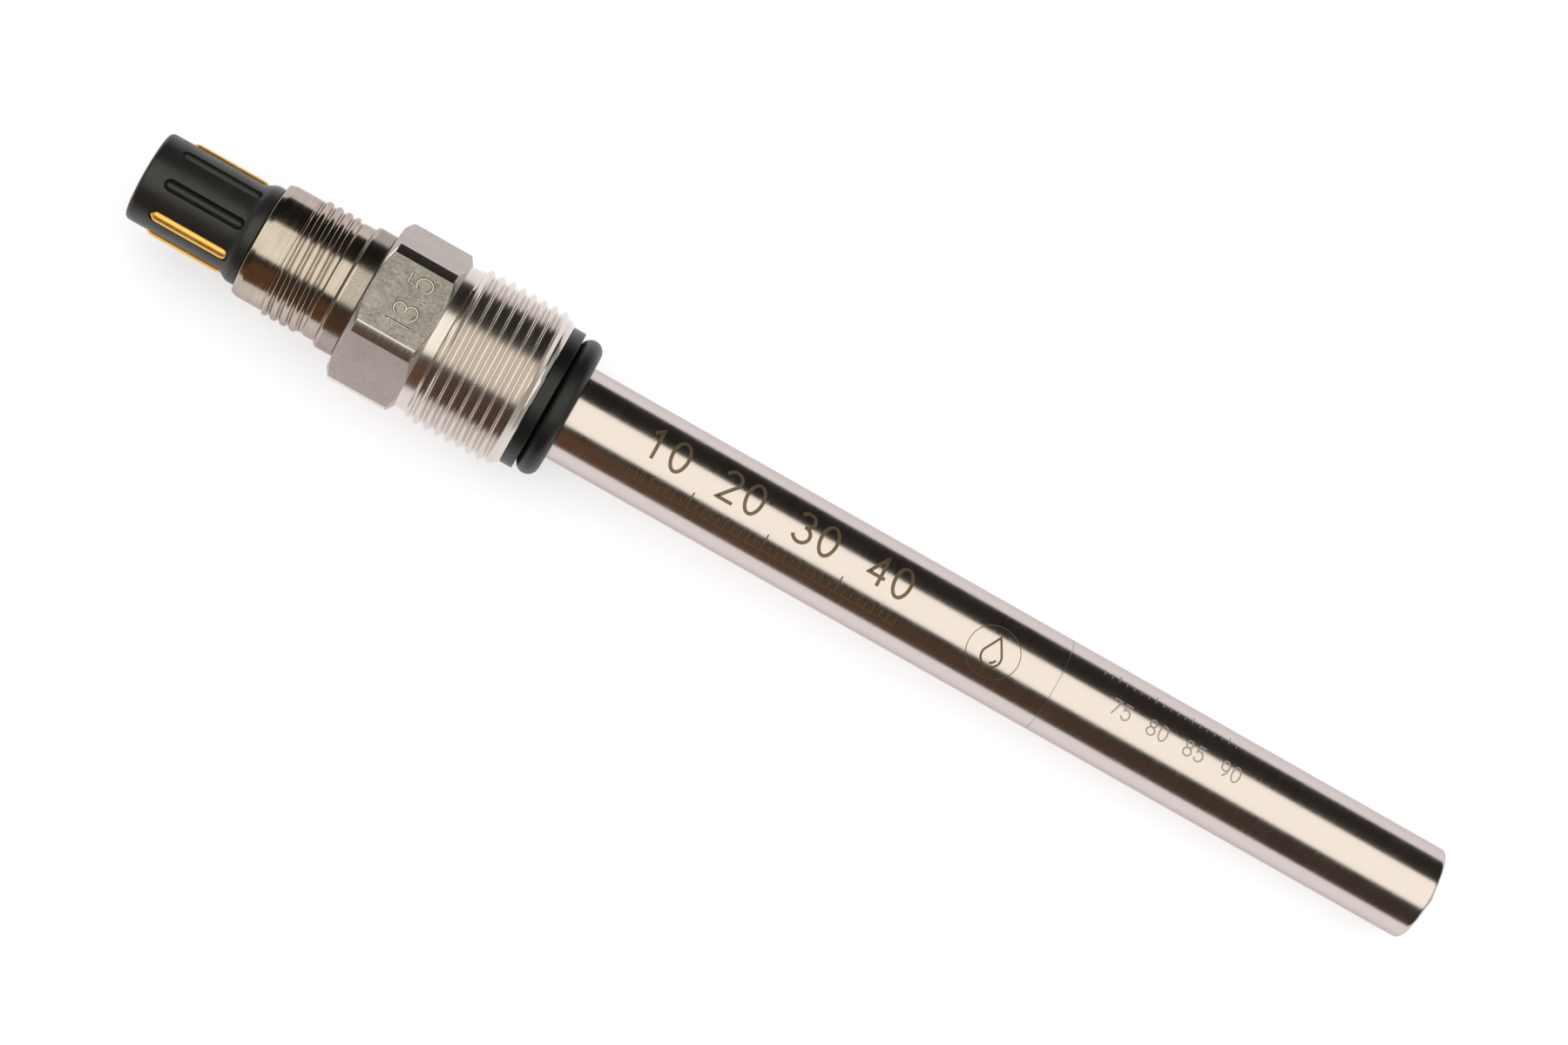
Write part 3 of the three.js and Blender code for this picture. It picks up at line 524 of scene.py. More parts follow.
NUMERAL_WIDTH = 0.58  # of a numeral's height
NUMERALS = {
    "0": [arc(0.29, 0.5, 0.27, 0.5, 0, 360, 33)],
    "1": [[(0.10, 0.80), (0.33, 1.0), (0.33, 0.0)]],
    "2": [arc(0.29, 0.72, 0.26, 0.28, 165, -38) + [(0.03, 0.0), (0.57, 0.0)]],
    "3": [arc(0.27, 0.75, 0.24, 0.25, 155, -90), arc(0.27, 0.26, 0.28, 0.26, 90, -160)],
    "4": [[(0.43, 0.0), (0.43, 1.0), (0.02, 0.30), (0.58, 0.30)]],
    "5": [[(0.53, 1.0), (0.13, 1.0), (0.07, 0.53)] + arc(0.27, 0.33, 0.28, 0.33, 125, -155)],
    "7": [[(0.02, 1.0), (0.56, 1.0), (0.20, 0.0)]],
    "8": [arc(0.29, 0.76, 0.22, 0.24, -90, 270, 27), arc(0.29, 0.26, 0.27, 0.26, 90, 450, 27)],
    "9": [arc(0.29, 0.68, 0.26, 0.32, 0, 360, 27), [(0.55, 0.68), (0.50, 0.30), (0.28, 0.0)]],
    ".": [[(0.24, 0.0), (0.24, 0.12)]],
}


def numeral_strokes(text, height, advance=0.78):
    """The strokes of a number, centred on u = 0 with its foot at v = 0."""
    width = (len(text) - 1) * advance + NUMERAL_WIDTH
    strokes = []
    for i, numeral in enumerate(text):
        start = i * advance - width / 2
        for stroke in NUMERALS[numeral]:
            strokes.append([((start + u) * height, v * height) for u, v in stroke])
    return strokes


def band(stroke, half_width):
    """The two sides of a flat band that follows a stroke."""
    points = np.array(stroke, float)
    looped = np.allclose(points[0], points[-1])
    steps = np.diff(points, axis=0)
    steps /= np.linalg.norm(steps, axis=1)[:, None]
    arriving = np.vstack([steps[-1:] if looped else steps[:1], steps])
    leaving = np.vstack([steps, steps[:1] if looped else steps[-1:]])
    heading = arriving + leaving
    heading /= np.linalg.norm(heading, axis=1)[:, None]
    stretch = 1 / np.maximum(np.sum(heading * leaving, axis=1), 0.5)
    normal = np.column_stack([-heading[:, 1], heading[:, 0]]) * (half_width * stretch)[:, None]
    return points + normal, points - normal


def raised_strokes(strokes, half_width, place, low, high, low_share=1.0):
    """Vertices and faces of a closed bar along each stroke. place(u, v, height) puts a point in space."""
    vertices, faces = [], []
    for stroke in strokes:
        left, right = band(stroke, half_width)
        low_left, low_right = band(stroke, half_width * low_share)
        base = len(vertices)
        for i in range(len(left)):
            vertices += [place(*left[i], high), place(*right[i], high)]
            vertices += [place(*low_right[i], low), place(*low_left[i], low)]
        for i in range(len(left) - 1):
            here, there = base + 4 * i, base + 4 * (i + 1)
            for a in range(4):
                b = (a + 1) % 4
                faces.append((here + a, here + b, there + b, there + a))
        if not np.allclose(stroke[0], stroke[-1]):
            end = base + 4 * (len(left) - 1)
            faces += [(base, base + 1, base + 2, base + 3), (end, end + 1, end + 2, end + 3)]
    return vertices, faces


# ---- Head: plug, contacts and collar -------------------------------------------------------------

PLUG_RADIUS = 5.69
FLANGE_RADIUS = reach("plug_body")
SPIGOT_RADIUS = 5.1
CORE_BORE = 3.75
SLOT_REAR, SLOT_FRONT = span("contact_strip_1")
SLOT_DEPTH = 0.9
FIRST_SLOT_ANGLE = 9.4
CONTACT_SLOTS = (0, 3, 4, 6)


def radial(angle_degrees):
    """Puts (x, across, height) on the ray at an angle about the axis, from +Y towards +Z."""
    angle = math.radians(angle_degrees)
    out_y, out_z = math.cos(angle), math.sin(angle)
    return lambda x, across, height: (x, height * out_y - across * out_z, height * out_z + across * out_y)


def stadium(x0, x1, half_width, steps=10):
    """An outline with straight sides and round ends, round the line from x0 to x1."""
    front = [(x1 + half_width * math.cos(a), half_width * math.sin(a))
             for a in np.linspace(-math.pi / 2, math.pi / 2, steps)]
    rear = [(x0 + half_width * math.cos(a), half_width * math.sin(a))
            for a in np.linspace(math.pi / 2, 1.5 * math.pi, steps)]
    return front + rear


def stacked(layers, place):
    """Vertices and faces of a closed form through outlines at rising heights: (height, outline)."""
    count = len(layers[0][1])
    vertices = [place(x, across, height) for height, outline in layers for x, across in outline]
    faces = [tuple(range(count)), tuple(range((len(layers) - 1) * count, len(layers) * count))]
    for layer in range(len(layers) - 1):
        for j in range(count):
            k = (j + 1) % count
            here, there = layer * count, (layer + 1) * count
            faces.append((here + j, here + k, there + k, there + j))
    return vertices, faces


def plug():
    rim = COLLAR_REAR - 0.15
    core_floor = span("plug_core")[1] + 0.15
    outline = rounded([
        (core_floor, 0, 0),
        (core_floor, CORE_BORE, 0.05),
        (PLUG_REAR, CORE_BORE, 0.15),
        (PLUG_REAR, PLUG_RADIUS, 0.75),
        (PLUG_REAR + 12.6, PLUG_RADIUS, 1.1),
        (PLUG_REAR + 13.8, FLANGE_RADIUS, 0.4),
        (rim, FLANGE_RADIUS, 0.12),
        (rim, SPIGOT_RADIUS, 0.05),
        (PLUG_FRONT, SPIGOT_RADIUS, 0.1),
        (PLUG_FRONT, 0, 0),
    ], steps=6, closed=False)
    body = revolve("plug_shell", outline, black_plastic, "shaft", "black_plastic", "plug_body")
    floor = PLUG_RADIUS - SLOT_DEPTH
    vertices, faces = [], []
    for slot in range(8):
        half = 0.92 if slot in CONTACT_SLOTS else 0.75
        layers = []
        for share in (0.04, 0.2, 0.4, 0.6, 0.8, 1.0):
            swing = share * math.pi / 2
            line = stadium(SLOT_REAR + half, SLOT_FRONT - half, half * math.sin(swing))
            layers.append((floor + 0.75 * (1 - math.cos(swing)), line))
        for height, flare in ((PLUG_RADIUS - 0.06, 0.0), (PLUG_RADIUS, 0.04), (7.6, 0.12)):
            layers.append((height, stadium(SLOT_REAR + half, SLOT_FRONT - half, half + flare)))
        more, their_faces = stacked(layers, radial(FIRST_SLOT_ANGLE + 45 * slot))
        faces += [tuple(len(vertices) + i for i in face) for face in their_faces]
        vertices += more
    cut_with(body, add_mesh("slot_cutter", vertices, faces, black_plastic, None, None))


def contact(number, slot):
    """A gilded strip with a crowned back, pointed at its rear and rounded at its front."""
    node = f"contact_strip_{number}"
    rear, front = span(node)
    half = 0.80
    seat = PLUG_RADIUS - SLOT_DEPTH + 0.12
    crown = PLUG_RADIUS + 0.38
    stations = [
        (rear, 0.06, 0.50), (rear + 0.25, 0.36, 0.70), (rear + 0.55, 0.66, 0.88), (rear + 0.8, half, 0.97),
        (rear + 1.1, half, 1.0), (front - 0.9, half, 1.0), (front - 0.5, half * 0.96, 0.96),
        (front - 0.2, half * 0.78, 0.82), (front - 0.05, half * 0.5, 0.66), (front, half * 0.3, 0.55),
    ]
    place = radial(FIRST_SLOT_ANGLE + 45 * slot)
    arc_steps = 14
    vertices, faces = [], []
    for x, width, share in stations:
        top = seat + (crown - seat) * share
        shoulder = seat + (top - seat) * 0.36
        ring = [(width, seat), (width, shoulder)]
        for a in np.linspace(0, math.pi, arc_steps)[1:-1]:
            ring.append((width * math.cos(a), shoulder + (top - shoulder) * math.sin(a)))
        ring += [(-width, shoulder), (-width, seat)]
        vertices += [place(x, across, height) for across, height in ring]
    count = arc_steps + 2
    for s in range(len(stations) - 1):
        for j in range(count):
            k = (j + 1) % count
            here, there = s * count, (s + 1) * count
            faces.append((here + j, here + k, there + k, there + j))
    faces.append(tuple(range(count)))
    faces.append(tuple(range((len(stations) - 1) * count, len(stations) * count)))
    add_mesh(f"gold_contact_{number}", vertices, faces, gold, "shaft", "gold", node)


def plug_insert():
    rear, front = span("plug_core")
    outline = rounded([
        (rear, 0, 0),
        (rear, 1.1, 0.06),
        (rear + 0.35, 1.25, 0.08),
        (rear + 0.35, 2.2, 0.08),
        (rear, 2.35, 0.08),
        (rear, 3.6, 0.2),
        (front, 3.6, 0.1),
        (front, 0, 0),
    ], closed=False)
    core = revolve("plug_insert", outline, grey_plastic, "shaft", "grey_plastic", "plug_core", segments=96)
    key = stadium(rear - 2.0, rear + 1.8, 0.6)
    vertices, faces = stacked([(1.6, key), (5.0, key)], radial(90))
    cut_with(core, add_mesh("key_cutter", vertices, faces, grey_plastic, None, None))


def collar():
    """The steel collar behind the gland, with a socket for the plug and a coupling thread."""
    thread_rear = COLLAR_REAR + 4.3
    thread_front = COLLAR_REAR + 9.1
    front_bore = 6.1
    columns = []
    for angle in turn_angles():
        rear_part = rounded([
            (COLLAR_REAR + 3.7, 5.3, 0.1),
            (COLLAR_REAR, 5.3, 0.15),
            (COLLAR_REAR, 7.15, 0.1),
            (COLLAR_REAR + 0.8, 7.4, 0.15),
            (thread_rear - 0.3, 7.4, 0.05),
            (thread_rear - 0.2, 7.32, 0.03),
            (thread_rear, 7.32, 0.0),
        ], closed=False)
        threads = thread_points(
            angle, thread_rear, thread_front, COLLAR_REAR + 8.9, 1.27, 7.36, 7.76, KNUCKLE_SECTION
        )
        front_part = rounded([
            (thread_front, 7.34, 0.0),
            (thread_front + 0.4, 7.32, 0.05),
            (thread_front + 0.65, 7.5, 0.06),
            (COLLAR_FRONT - 2.75, 7.5, 0.05),
            (COLLAR_FRONT - 2.4, 8.0, 0.08),
            (COLLAR_FRONT, 8.0, 0.12),
            (COLLAR_FRONT, front_bore, 0.1),
            (TUBE_REAR - 0.15, front_bore, 0.05),
            (TUBE_REAR - 0.15, 4.5, 0.05),
            (COLLAR_REAR + 3.7, 4.5, 0.05),
            (COLLAR_REAR + 3.7, 5.3, 0.0),
        ], closed=False)
        columns.append(rear_part + threads + front_part[:-1])
    lathe(
        "steel_collar", columns, turn_angles(), True, collar_steel, "shaft", "turned_steel", "head_collar"
    )


plug()
for number, slot in enumerate(CONTACT_SLOTS, 1):
    contact(number, slot)
plug_insert()
collar()

# ---- Process fitting: gland, washer and seal -----------------------------------------------------

HEX_FACE = 9.42
HEX_CHAMFER = 0.72
NECK_RADIUS = 9.4
PG_PITCH = 25.4 / 18
PG_CREST = 10.2
PG_ROOT = 9.53
PG_LAST_CREST = GLAND_FRONT - 1.57
PG_END = 9.25
GLAND_BORE = 6.25
PG_CRESTS_BEHIND_LAST = 7.65
HEX_EDGE = math.degrees(math.acos(HEX_FLAT / HEX_CORNER))


def gland_angles():
    """Angles for the gland's columns, crowded where the hexagon's flats meet its round lands."""
    near_edge = (-0.6, -0.25, 0.0, 0.25, 0.6)
    sector = [-30.0, -28.0] + [d - HEX_EDGE for d in near_edge]
    sector += list(np.linspace(1.6 - HEX_EDGE, HEX_EDGE - 1.6, 25))
    sector += [HEX_EDGE + d for d in near_edge] + [28.0]
    return [math.radians(30 + 60 * flat + offset) for flat in range(6) for offset in sector] + [TAU]


def hex_radius(angle):
    """The hexagon's radius at an angle: its flat or its round land, with the edge between them eased."""
    offset = (math.degrees(angle) % 60) - 30
    flat = HEX_FLAT / math.cos(math.radians(offset))
    ease = 0.015
    gap = abs(flat - HEX_CORNER)
    return min(flat, HEX_CORNER) - ease * math.log1p(math.exp(-gap / ease))


def gland_column(angle):
    hexagon = hex_radius(angle)
    chamfer = HEX_CHAMFER * (hexagon - HEX_FACE) / (HEX_CORNER - HEX_FACE)
    hex_front = GLAND_REAR + HEX_LENGTH
    thread_rear = PG_LAST_CREST - PG_CRESTS_BEHIND_LAST * PG_PITCH
    bore_chamfer = 0.25

    def limit(x, radius):
        run_in = NECK_RADIUS + max(x - thread_rear, 0.0) * 1.3
        run_out = PG_END + max(GLAND_FRONT - x, 0.0) * 0.72
        return min(radius, run_in, run_out)

    body = rounded([
        (GLAND_REAR, GLAND_BORE + bore_chamfer),
        (GLAND_REAR, HEX_FACE, 0.04),
        (GLAND_REAR + chamfer, hexagon, 0.06),
        (hex_front - chamfer, hexagon, 0.06),
        (hex_front, HEX_FACE, 0.04),
        (hex_front, NECK_RADIUS, 0.0),
        (thread_rear, NECK_RADIUS, 0.0),
    ], closed=False)
    threads = thread_points(
        angle, thread_rear, GLAND_FRONT, PG_LAST_CREST, PG_PITCH, PG_ROOT, PG_CREST, PG_SECTION, limit
    )
    bore = [
        (GLAND_FRONT, GLAND_BORE + bore_chamfer),
        (GLAND_FRONT - bore_chamfer, GLAND_BORE),
        (GLAND_REAR + bore_chamfer, GLAND_BORE),
    ]
    return body + threads + bore


def gland():
    angles = gland_angles()
    columns = [gland_column(angle) for angle in angles]
    piece = lathe("process_gland", columns, angles, True, ground_steel, "gland", "ground_steel", "gland")
    size_height = 3.0
    size_foot = GLAND_REAR + 6.6
    strokes = numeral_strokes("13.5", size_height, 0.62)
    place = lambda u, v, height: (size_foot - v, u, height)
    vertices, faces = raised_strokes(strokes, 0.23, place, HEX_FLAT - 0.2, HEX_FLAT + 0.08, low_share=0.08)
    cut_with(piece, add_mesh("size_cutter", vertices, faces, ground_steel, None, None))


def washer():
    outer = reach("thrust_ring")
    outline = rounded([
        (RING_REAR, 6.15, 0.08),
        (RING_REAR, outer, 0.16),
        (RING_FRONT, outer, 0.14),
        (RING_FRONT, 6.15, 0.08),
    ])
    revolve(
        "thrust_washer", outline, washer_plastic, "shaft", "black_plastic", "thrust_ring", segments=192
    )


gland()
washer()
o_ring("process_seal", "seal_oring", black_rubber, "shaft", "black_rubber", rear=RING_FRONT + 0.01)

# ---- Shaft and nose ------------------------------------------------------------------------------


def shaft():
    outline = rounded([
        (TUBE_REAR, 5.0, 0.05),
        (TUBE_REAR, SHAFT_RADIUS, 0.1),
        (TUBE_FRONT, SHAFT_RADIUS, 0.03),
        (TUBE_FRONT, 5.0, 0.1),
    ], steps=3)
    revolve("steel_shaft", outline, polished_steel, "shaft", "polished_steel", "shaft_tube", segments=192)


CAP_PITCH = 1.0
CAP_THREAD = TUBE_FRONT + 6.4
CAP_LENGTH = 51.75


def nose():
    thread_front = CAP_THREAD + 3.8
    bore = 3.35
    columns = []
    for angle in turn_angles(120):
        rear_part = rounded([
            (NOSE_REAR, bore),
            (NOSE_REAR, 4.85, 0.1),
            (TUBE_FRONT, 4.85, 0.05),
            (TUBE_FRONT, 4.3, 0.05),
            (CAP_THREAD - 0.1, 4.3, 0.05),
            (CAP_THREAD, 4.5, 0.0),
        ], closed=False)
        run = lambda x, r: min(r, 4.5 + (x - CAP_THREAD) * 1.2, 4.5 + (thread_front - x) * 1.2)
        threads = thread_points(angle, CAP_THREAD, thread_front, CAP_THREAD, CAP_PITCH, 4.5, 5.0, limit=run)
        front_part = rounded([
            (thread_front, 4.5, 0.0),
            (thread_front + 0.1, 4.3, 0.05),
            (NOSE_FRONT, 4.3, 0.3),
            (NOSE_FRONT, bore, 0.05),
            (NOSE_REAR, bore),
        ], closed=False)
        columns.append(rear_part + threads + front_part[:-1])
    lathe(
        "threaded_nose", columns, turn_angles(120), True, turned_steel, "shaft", "turned_steel",
        "shaft_nose",
    )


shaft()
nose()
o_ring("joint_seal_ring", "joint_oring", black_rubber, "joint_seal", "black_rubber")

# ---- Electrode -----------------------------------------------------------------------------------


def electrode():
    rear, front = span("inner_body")
    anode_rear, anode_front = span("anode_tube")
    glass_rear, glass_front = span("glass_tip")
    glass_radius = reach("glass_tip")
    glass_bore = glass_radius + 0.1
    body = rounded([
        (rear, 1.3, 0.05),
        (rear, 3.2, 0.1),
        (NOSE_FRONT + 0.3, 3.2, 0.05),
        (NOSE_FRONT + 0.3, 4.1, 0.25),
        (anode_rear - 0.15, 4.1, 0.08),
        (anode_rear - 0.15, 3.25, 0.04),
        (anode_front + 0.8, 3.25, 0.6),
        (front, glass_bore + 0.5, 0.15),
        (front, glass_bore, 0.05),
        (glass_rear - 0.15, glass_bore, 0.03),
        (glass_rear - 0.15, 1.3, 0.05),
    ])
    revolve("electrode_body", body, white_plastic, "shaft", "white_plastic", "inner_body", segments=96)
    sleeve = rounded([
        (anode_rear, 3.35, 0.05),
        (anode_rear, 4.1, 0.15),
        (anode_front, 4.1, 0.25),
        (anode_front, 3.35, 0.05),
    ])
    revolve("anode_sleeve", sleeve, silver, "shaft", "silver", "anode_tube", segments=96)
    rod = rounded([
        (glass_rear, 0.4, 0.03),
        (glass_rear, glass_radius, 0.1),
        (glass_front - 0.12, glass_radius, 0.4),
        (glass_front, 0.4, 0.03),
    ], steps=6)
    revolve("glass_rod", rod, glass, "shaft", "glass", "glass_tip", segments=64)
    wire_rear, wire_front = span("cathode")
    wire = rounded([(wire_rear, 0, 0), (wire_rear, 0.3, 0.05), (wire_front, 0.3, 0.05), (wire_front, 0, 0)],
                   closed=False)
    revolve("cathode_wire", wire, platinum, "shaft", "platinum", "cathode", segments=32)


electrode()

# ---- Cap and membrane module ---------------------------------------------------------------------

CLAMP_REAR, CLAMP_FRONT = span("clamp_ring")
MEMBRANE_REAR, MEMBRANE_FRONT = span("membrane")
MODULE_REAR, MODULE_FRONT = span("membrane_body")


def cap():
    tip = TUBE_FRONT + CAP_LENGTH
    lip_x = tip - 1.85
    seam = TUBE_FRONT + 0.03
    thread_front = CAP_THREAD + 4.2
    columns = []
    for angle in turn_angles(192):
        outside = rounded([
            (seam, 5.65),
            (seam, SHAFT_RADIUS, 0.03),
            (tip, SHAFT_RADIUS, 0.45),
            (SLEEVE_FRONT, 4.25, 0.12),
            (lip_x, 4.25, 0.05),
            (lip_x, 5.1, 0.05),
            (thread_front + 0.2, 5.1, 0.05),
            (thread_front, 5.5, 0.0),
        ], closed=False, steps=6)
        threads = thread_points(
            angle, CAP_THREAD, thread_front, CAP_THREAD + CAP_PITCH / 2, CAP_PITCH, 5.55, 5.1
        )
        mouth = [(seam + 0.1, 5.55)]
        columns.append(outside + threads[::-1] + mouth)
    lathe(
        "cap_shell", columns, turn_angles(192), True, polished_steel, "cap", "polished_steel", "cap_sleeve"
    )


def module():
    seal_rear, seal_front = span("membrane_oring")
    body = rounded([
        (MODULE_REAR, 4.3, 0.1),
        (MODULE_REAR, 4.95, 0.2),
        (seal_rear - 0.1, 4.95, 0.05),
        (seal_rear - 0.1, 4.11, 0.05),
        (seal_front + 0.1, 4.11, 0.05),
        (seal_front + 0.1, 4.95, 0.05),
        (MODULE_FRONT - 1.25, 4.95, 0.1),
        (MODULE_FRONT - 1.25, 4.1, 0.05),
        (MODULE_FRONT, 4.1, 0.1),
        (MODULE_FRONT, 2.3, 0.05),
        (MODULE_FRONT - 7.8, 2.3, 0.1),
        (MODULE_FRONT - 8.6, 4.3, 0.2),
    ])
    revolve("membrane_holder", body, white_plastic, "membrane_module", "white_plastic", "membrane_body",
            segments=128)
    dome_base = CLAMP_FRONT - 0.1
    thickness = 0.3
    rise = MEMBRANE_FRONT - dome_base
    angles = np.linspace(0, math.pi / 2, 14)
    outer = [(dome_base + rise * math.sin(a), 2.15 * math.cos(a)) for a in angles]
    inner_rise = rise - thickness
    inner = [(dome_base + inner_rise * math.sin(a), 1.85 * math.cos(a)) for a in angles[::-1]]
    outer[-1] = (outer[-1][0], 0.0)
    inner[0] = (inner[0][0], 0.0)
    flange = [(MEMBRANE_REAR, 1.85), (MEMBRANE_REAR, 3.4), (MEMBRANE_REAR + thickness, 3.4),
              (MEMBRANE_REAR + thickness, 2.15)]
    skin = inner + flange + outer
    revolve("membrane_skin", skin, silicone, "membrane_module", "silicone", "membrane", segments=128)
    clamp = rounded([
        (CLAMP_REAR, 2.25, 0.04),
        (CLAMP_REAR, 4.0, 0.05),
        (SLEEVE_FRONT, 4.0, 0.12),
        (CLAMP_FRONT, 2.65, 0.1),
        (CLAMP_FRONT, 2.25, 0.06),
    ])
    revolve("membrane_clamp", clamp, turned_steel, "membrane_module", "turned_steel", "clamp_ring",
            segments=128)


cap()
module()
o_ring("membrane_seal", "membrane_oring", black_rubber, "membrane_module", "black_rubber")

# ---- Laser marks: a depth scale, a drop sign and a faint scale on the cap ------------------------

MARK_LIFT = 0.012


def wrapped(x0, foot_degrees):
    """Lays (u, v) on the shaft: u runs towards the tip and v runs up from the foot's angle."""
    foot = math.radians(foot_degrees)

    def place(u, v, height):
        angle = foot - v / SHAFT_RADIUS
        return x0 + u, height * math.cos(angle), height * math.sin(angle)

    return place


def mark(name, placed_strokes, half_width, material, body):
    """One piece from several groups of strokes, each with its own place."""
    vertices, faces = [], []
    for strokes, place in placed_strokes:
        base = len(vertices)
        more, their_faces = raised_strokes(
            strokes, half_width, place, SHAFT_RADIUS - 0.03, SHAFT_RADIUS + MARK_LIFT
        )
        vertices += more
        faces += [tuple(base + i for i in face) for face in their_faces]
    piece = add_mesh(name, vertices, faces, material, body, "polished_steel")
    piece.data.set_sharp_from_angle(angle=math.radians(60))
    return piece


def split(stroke, longest=0.25):
    """The stroke with points added, so that it bends with the shaft."""
    points = [stroke[0]]
    for (u0, v0), (u1, v1) in zip(stroke, stroke[1:]):
        pieces = max(1, math.ceil(math.hypot(u1 - u0, v1 - v0) / longest))
        points += [(u0 + (u1 - u0) * i / pieces, v0 + (v1 - v0) * i / pieces) for i in range(1, pieces + 1)]
    return points


def depth_scale():
    numbers = []
    for depth in (10, 20, 30, 40):
        strokes = [split(s) for s in numeral_strokes(str(depth), 3.8, 0.84)]
        numbers.append((strokes, wrapped(RING_FRONT + depth + 5, 101.0)))
    mark("depth_numbers", numbers, 0.22, olive_mark, "shaft")
    ticks = []
    for depth in range(12, 49):
        height = 2.2 if depth % 10 == 0 else 1.6 if depth % 5 == 0 else 1.0
        ticks.append(([split([(0.0, 0.0), (0.0, height)])], wrapped(RING_FRONT + depth, 131.0)))
    base_line = [split([(0.0, 0.0), (36.0, 0.0)], 2.0)]
    ticks.append((base_line, wrapped(RING_FRONT + 12, 132.0)))
    mark("depth_ticks", ticks, 0.09, olive_mark, "shaft")


def drop_sign():
    """A ring with a water drop in it."""
    ring = [split(arc(0, 0, 3.3, 3.3, 0, 360, 61))]
    cheek = arc(0, -0.55, 1.25, 1.25, -215, 35, 25)
    drop = [split(cheek + [(0.0, 2.0), cheek[0]])]
    glint = [arc(0, -0.55, 0.72, 0.72, -80, -10, 8)]
    place = wrapped(RING_FRONT + 59.9, 101.4)
    mark("drop_ring", [(ring, place)], 0.05, olive_mark, "shaft")
    mark("drop_outline", [(drop + glint, place)], 0.14, olive_mark, "shaft")


def cap_scale():
    numbers = []
    for depth in (75, 80, 85, 90):
        strokes = [split(s) for s in numeral_strokes(str(depth), 1.9, 0.80)]
        numbers.append((strokes, wrapped(RING_FRONT + depth + 1.5, 95.5)))
    mark("cap_numbers", numbers, 0.10, grey_mark, "cap")
    ticks = []
    for depth in range(73, 92):
        height = 1.2 if depth % 5 == 0 else 0.7
        ticks.append(([split([(0.0, 0.0), (0.0, height)])], wrapped(RING_FRONT + depth, 56.0)))
    mark("cap_ticks", ticks, 0.06, grey_mark, "cap")


depth_scale()
drop_sign()
cap_scale()

# ---- Materials for the CAD nodes that stay as they are -------------------------------------------

KEPT_NODES = {
    "plug_seal": black_rubber,
    "potting": resin,
    "lead_anode": red_insulation,
    "lead_cathode": blue_insulation,
    "lead_thermistor_1": white_insulation,
    "lead_thermistor_2": white_insulation,
    "lead_guide": white_plastic,
    "thermistor": resin,
}
for node, material in KEPT_NODES.items():
    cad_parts[node].data.materials.clear()
    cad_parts[node].data.materials.append(material)

# ---- Studio: floor, softbox, fill and surroundings -----------------------------------------------


def floor():
    """A small pale table, faintly lit from within, that the gland's thread and the cap's end rest on."""
    slope = math.atan2(reach("gland") - SHAFT_RADIUS, TUBE_FRONT + 51.0 - PG_LAST_CREST)
    turn = Matrix.Rotation(-slope, 4, "Y") @ Matrix.Rotation(math.radians(2.4), 4, "X")
    contact_point = Vector((PG_LAST_CREST * MM, 0, -(PG_CREST + 0.05) * MM))
    end, near, far = 0.5, -0.10, 0.16  # metres
    mesh = bpy.data.meshes.new("table")
    mesh.from_pydata([(-end, near, 0), (end, near, 0), (end, far, 0), (-end, far, 0)], [], [(0, 1, 2, 3)])
    table = bpy.data.objects.new("table", mesh)
    scene.collection.objects.link(table)
    table.matrix_world = Matrix.Translation(contact_point) @ turn
    paper = Finish(
        "lit_white_paper", Roughness=0.9, Specular_IOR_Level=0.1,
        Emission_Color=(0.99, 1.0, 1.01, 1.0), Emission_Strength=0.50,
    )
    fibres = paper.spread(paper.noise(0.02, 4.0), 0.0, 1.0)
    paper.use("Base Color", paper.blend(fibres, (0.895, 0.895, 0.892), (0.905, 0.905, 0.902)))
    mesh.materials.append(paper.material)


def area_light(name, place, size, radiance, colour, glossy):
    """A lamp that shows only in reflections (glossy), or that only lights matt surfaces."""
    light = bpy.data.lights.new(name, "AREA")
    light.shape = "RECTANGLE"
    light.size, light.size_y = size
    light.energy = radiance * math.pi * size[0] * size[1]
    light.color = colour
    lamp = bpy.data.objects.new(name, light)
    scene.collection.objects.link(lamp)
    lamp.location = place
    lamp.visible_camera = False
    lamp.visible_glossy = glossy
    lamp.visible_diffuse = not glossy


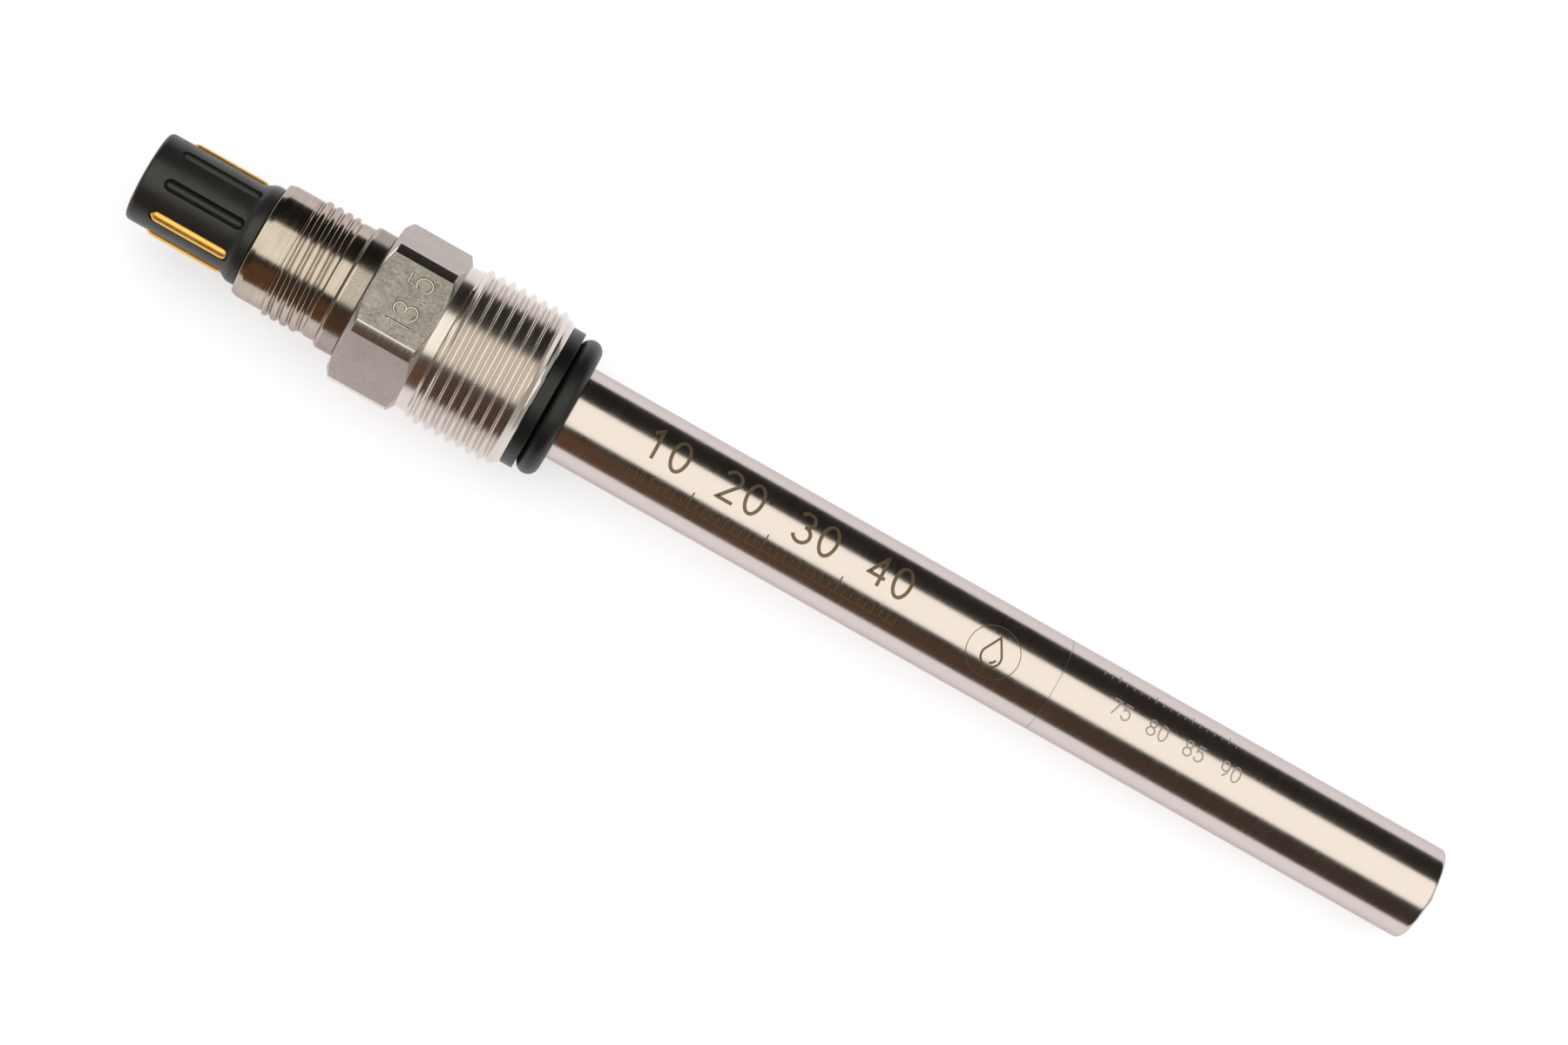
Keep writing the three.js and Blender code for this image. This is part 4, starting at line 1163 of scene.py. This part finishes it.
def surroundings():
    """White to the camera. To everything else a dim room: dark above, brown low down on the -Y side."""
    world = bpy.data.worlds.new("studio")
    scene.world = world
    world.use_nodes = True
    tree = world.node_tree
    tree.nodes.clear()
    output = tree.nodes.new("ShaderNodeOutputWorld")
    direction = tree.nodes.new("ShaderNodeTexCoord").outputs["Generated"]
    split_direction = tree.nodes.new("ShaderNodeSeparateXYZ")
    tree.links.new(direction, split_direction.inputs["Vector"])
    ends = tree.nodes.new("ShaderNodeMath")
    ends.operation = "ABSOLUTE"
    tree.links.new(split_direction.outputs["X"], ends.inputs[0])

    def share(value, low, high, interpolation="LINEAR"):
        node = tree.nodes.new("ShaderNodeMapRange")
        node.interpolation_type = interpolation
        node.inputs["From Min"].default_value = low
        node.inputs["From Max"].default_value = high
        tree.links.new(value, node.inputs["Value"])
        return node.outputs["Result"]

    off_the_low_side = share(split_direction.outputs["Y"], -0.86, -0.74)
    towards_tip = share(split_direction.outputs["X"], -0.08, 0.24)
    at_the_ends = share(ends.outputs[0], 0.66, 0.86, "SMOOTHSTEP")
    brown = mixed(tree, towards_tip, (0.175, 0.085, 0.042), (0.050, 0.038, 0.028))
    dark = mixed(tree, towards_tip, (0.013, 0.012, 0.010), (0.028, 0.024, 0.020))
    room = mixed(tree, off_the_low_side, brown, dark)
    dim = tree.nodes.new("ShaderNodeBackground")
    tree.links.new(mixed(tree, at_the_ends, room, (0.5, 0.49, 0.45)), dim.inputs["Color"])
    white = tree.nodes.new("ShaderNodeBackground")
    white.inputs["Color"].default_value = (1, 1, 1, 1)
    seen = tree.nodes.new("ShaderNodeLightPath").outputs["Is Camera Ray"]
    choice = tree.nodes.new("ShaderNodeMixShader")
    tree.links.new(seen, choice.inputs[0])
    tree.links.new(dim.outputs[0], choice.inputs[1])
    tree.links.new(white.outputs[0], choice.inputs[2])
    tree.links.new(choice.outputs[0], output.inputs["Surface"])


floor()
area_light("softbox", (0.05, -0.125, 1.0), (3.0, 1.36), 1.46, (1.0, 0.985, 0.885), True)
area_light("fill", (0.05, 0.18, 1.2), (2.4, 2.4), 1.15, (1.01, 0.995, 1.0), False)
surroundings()
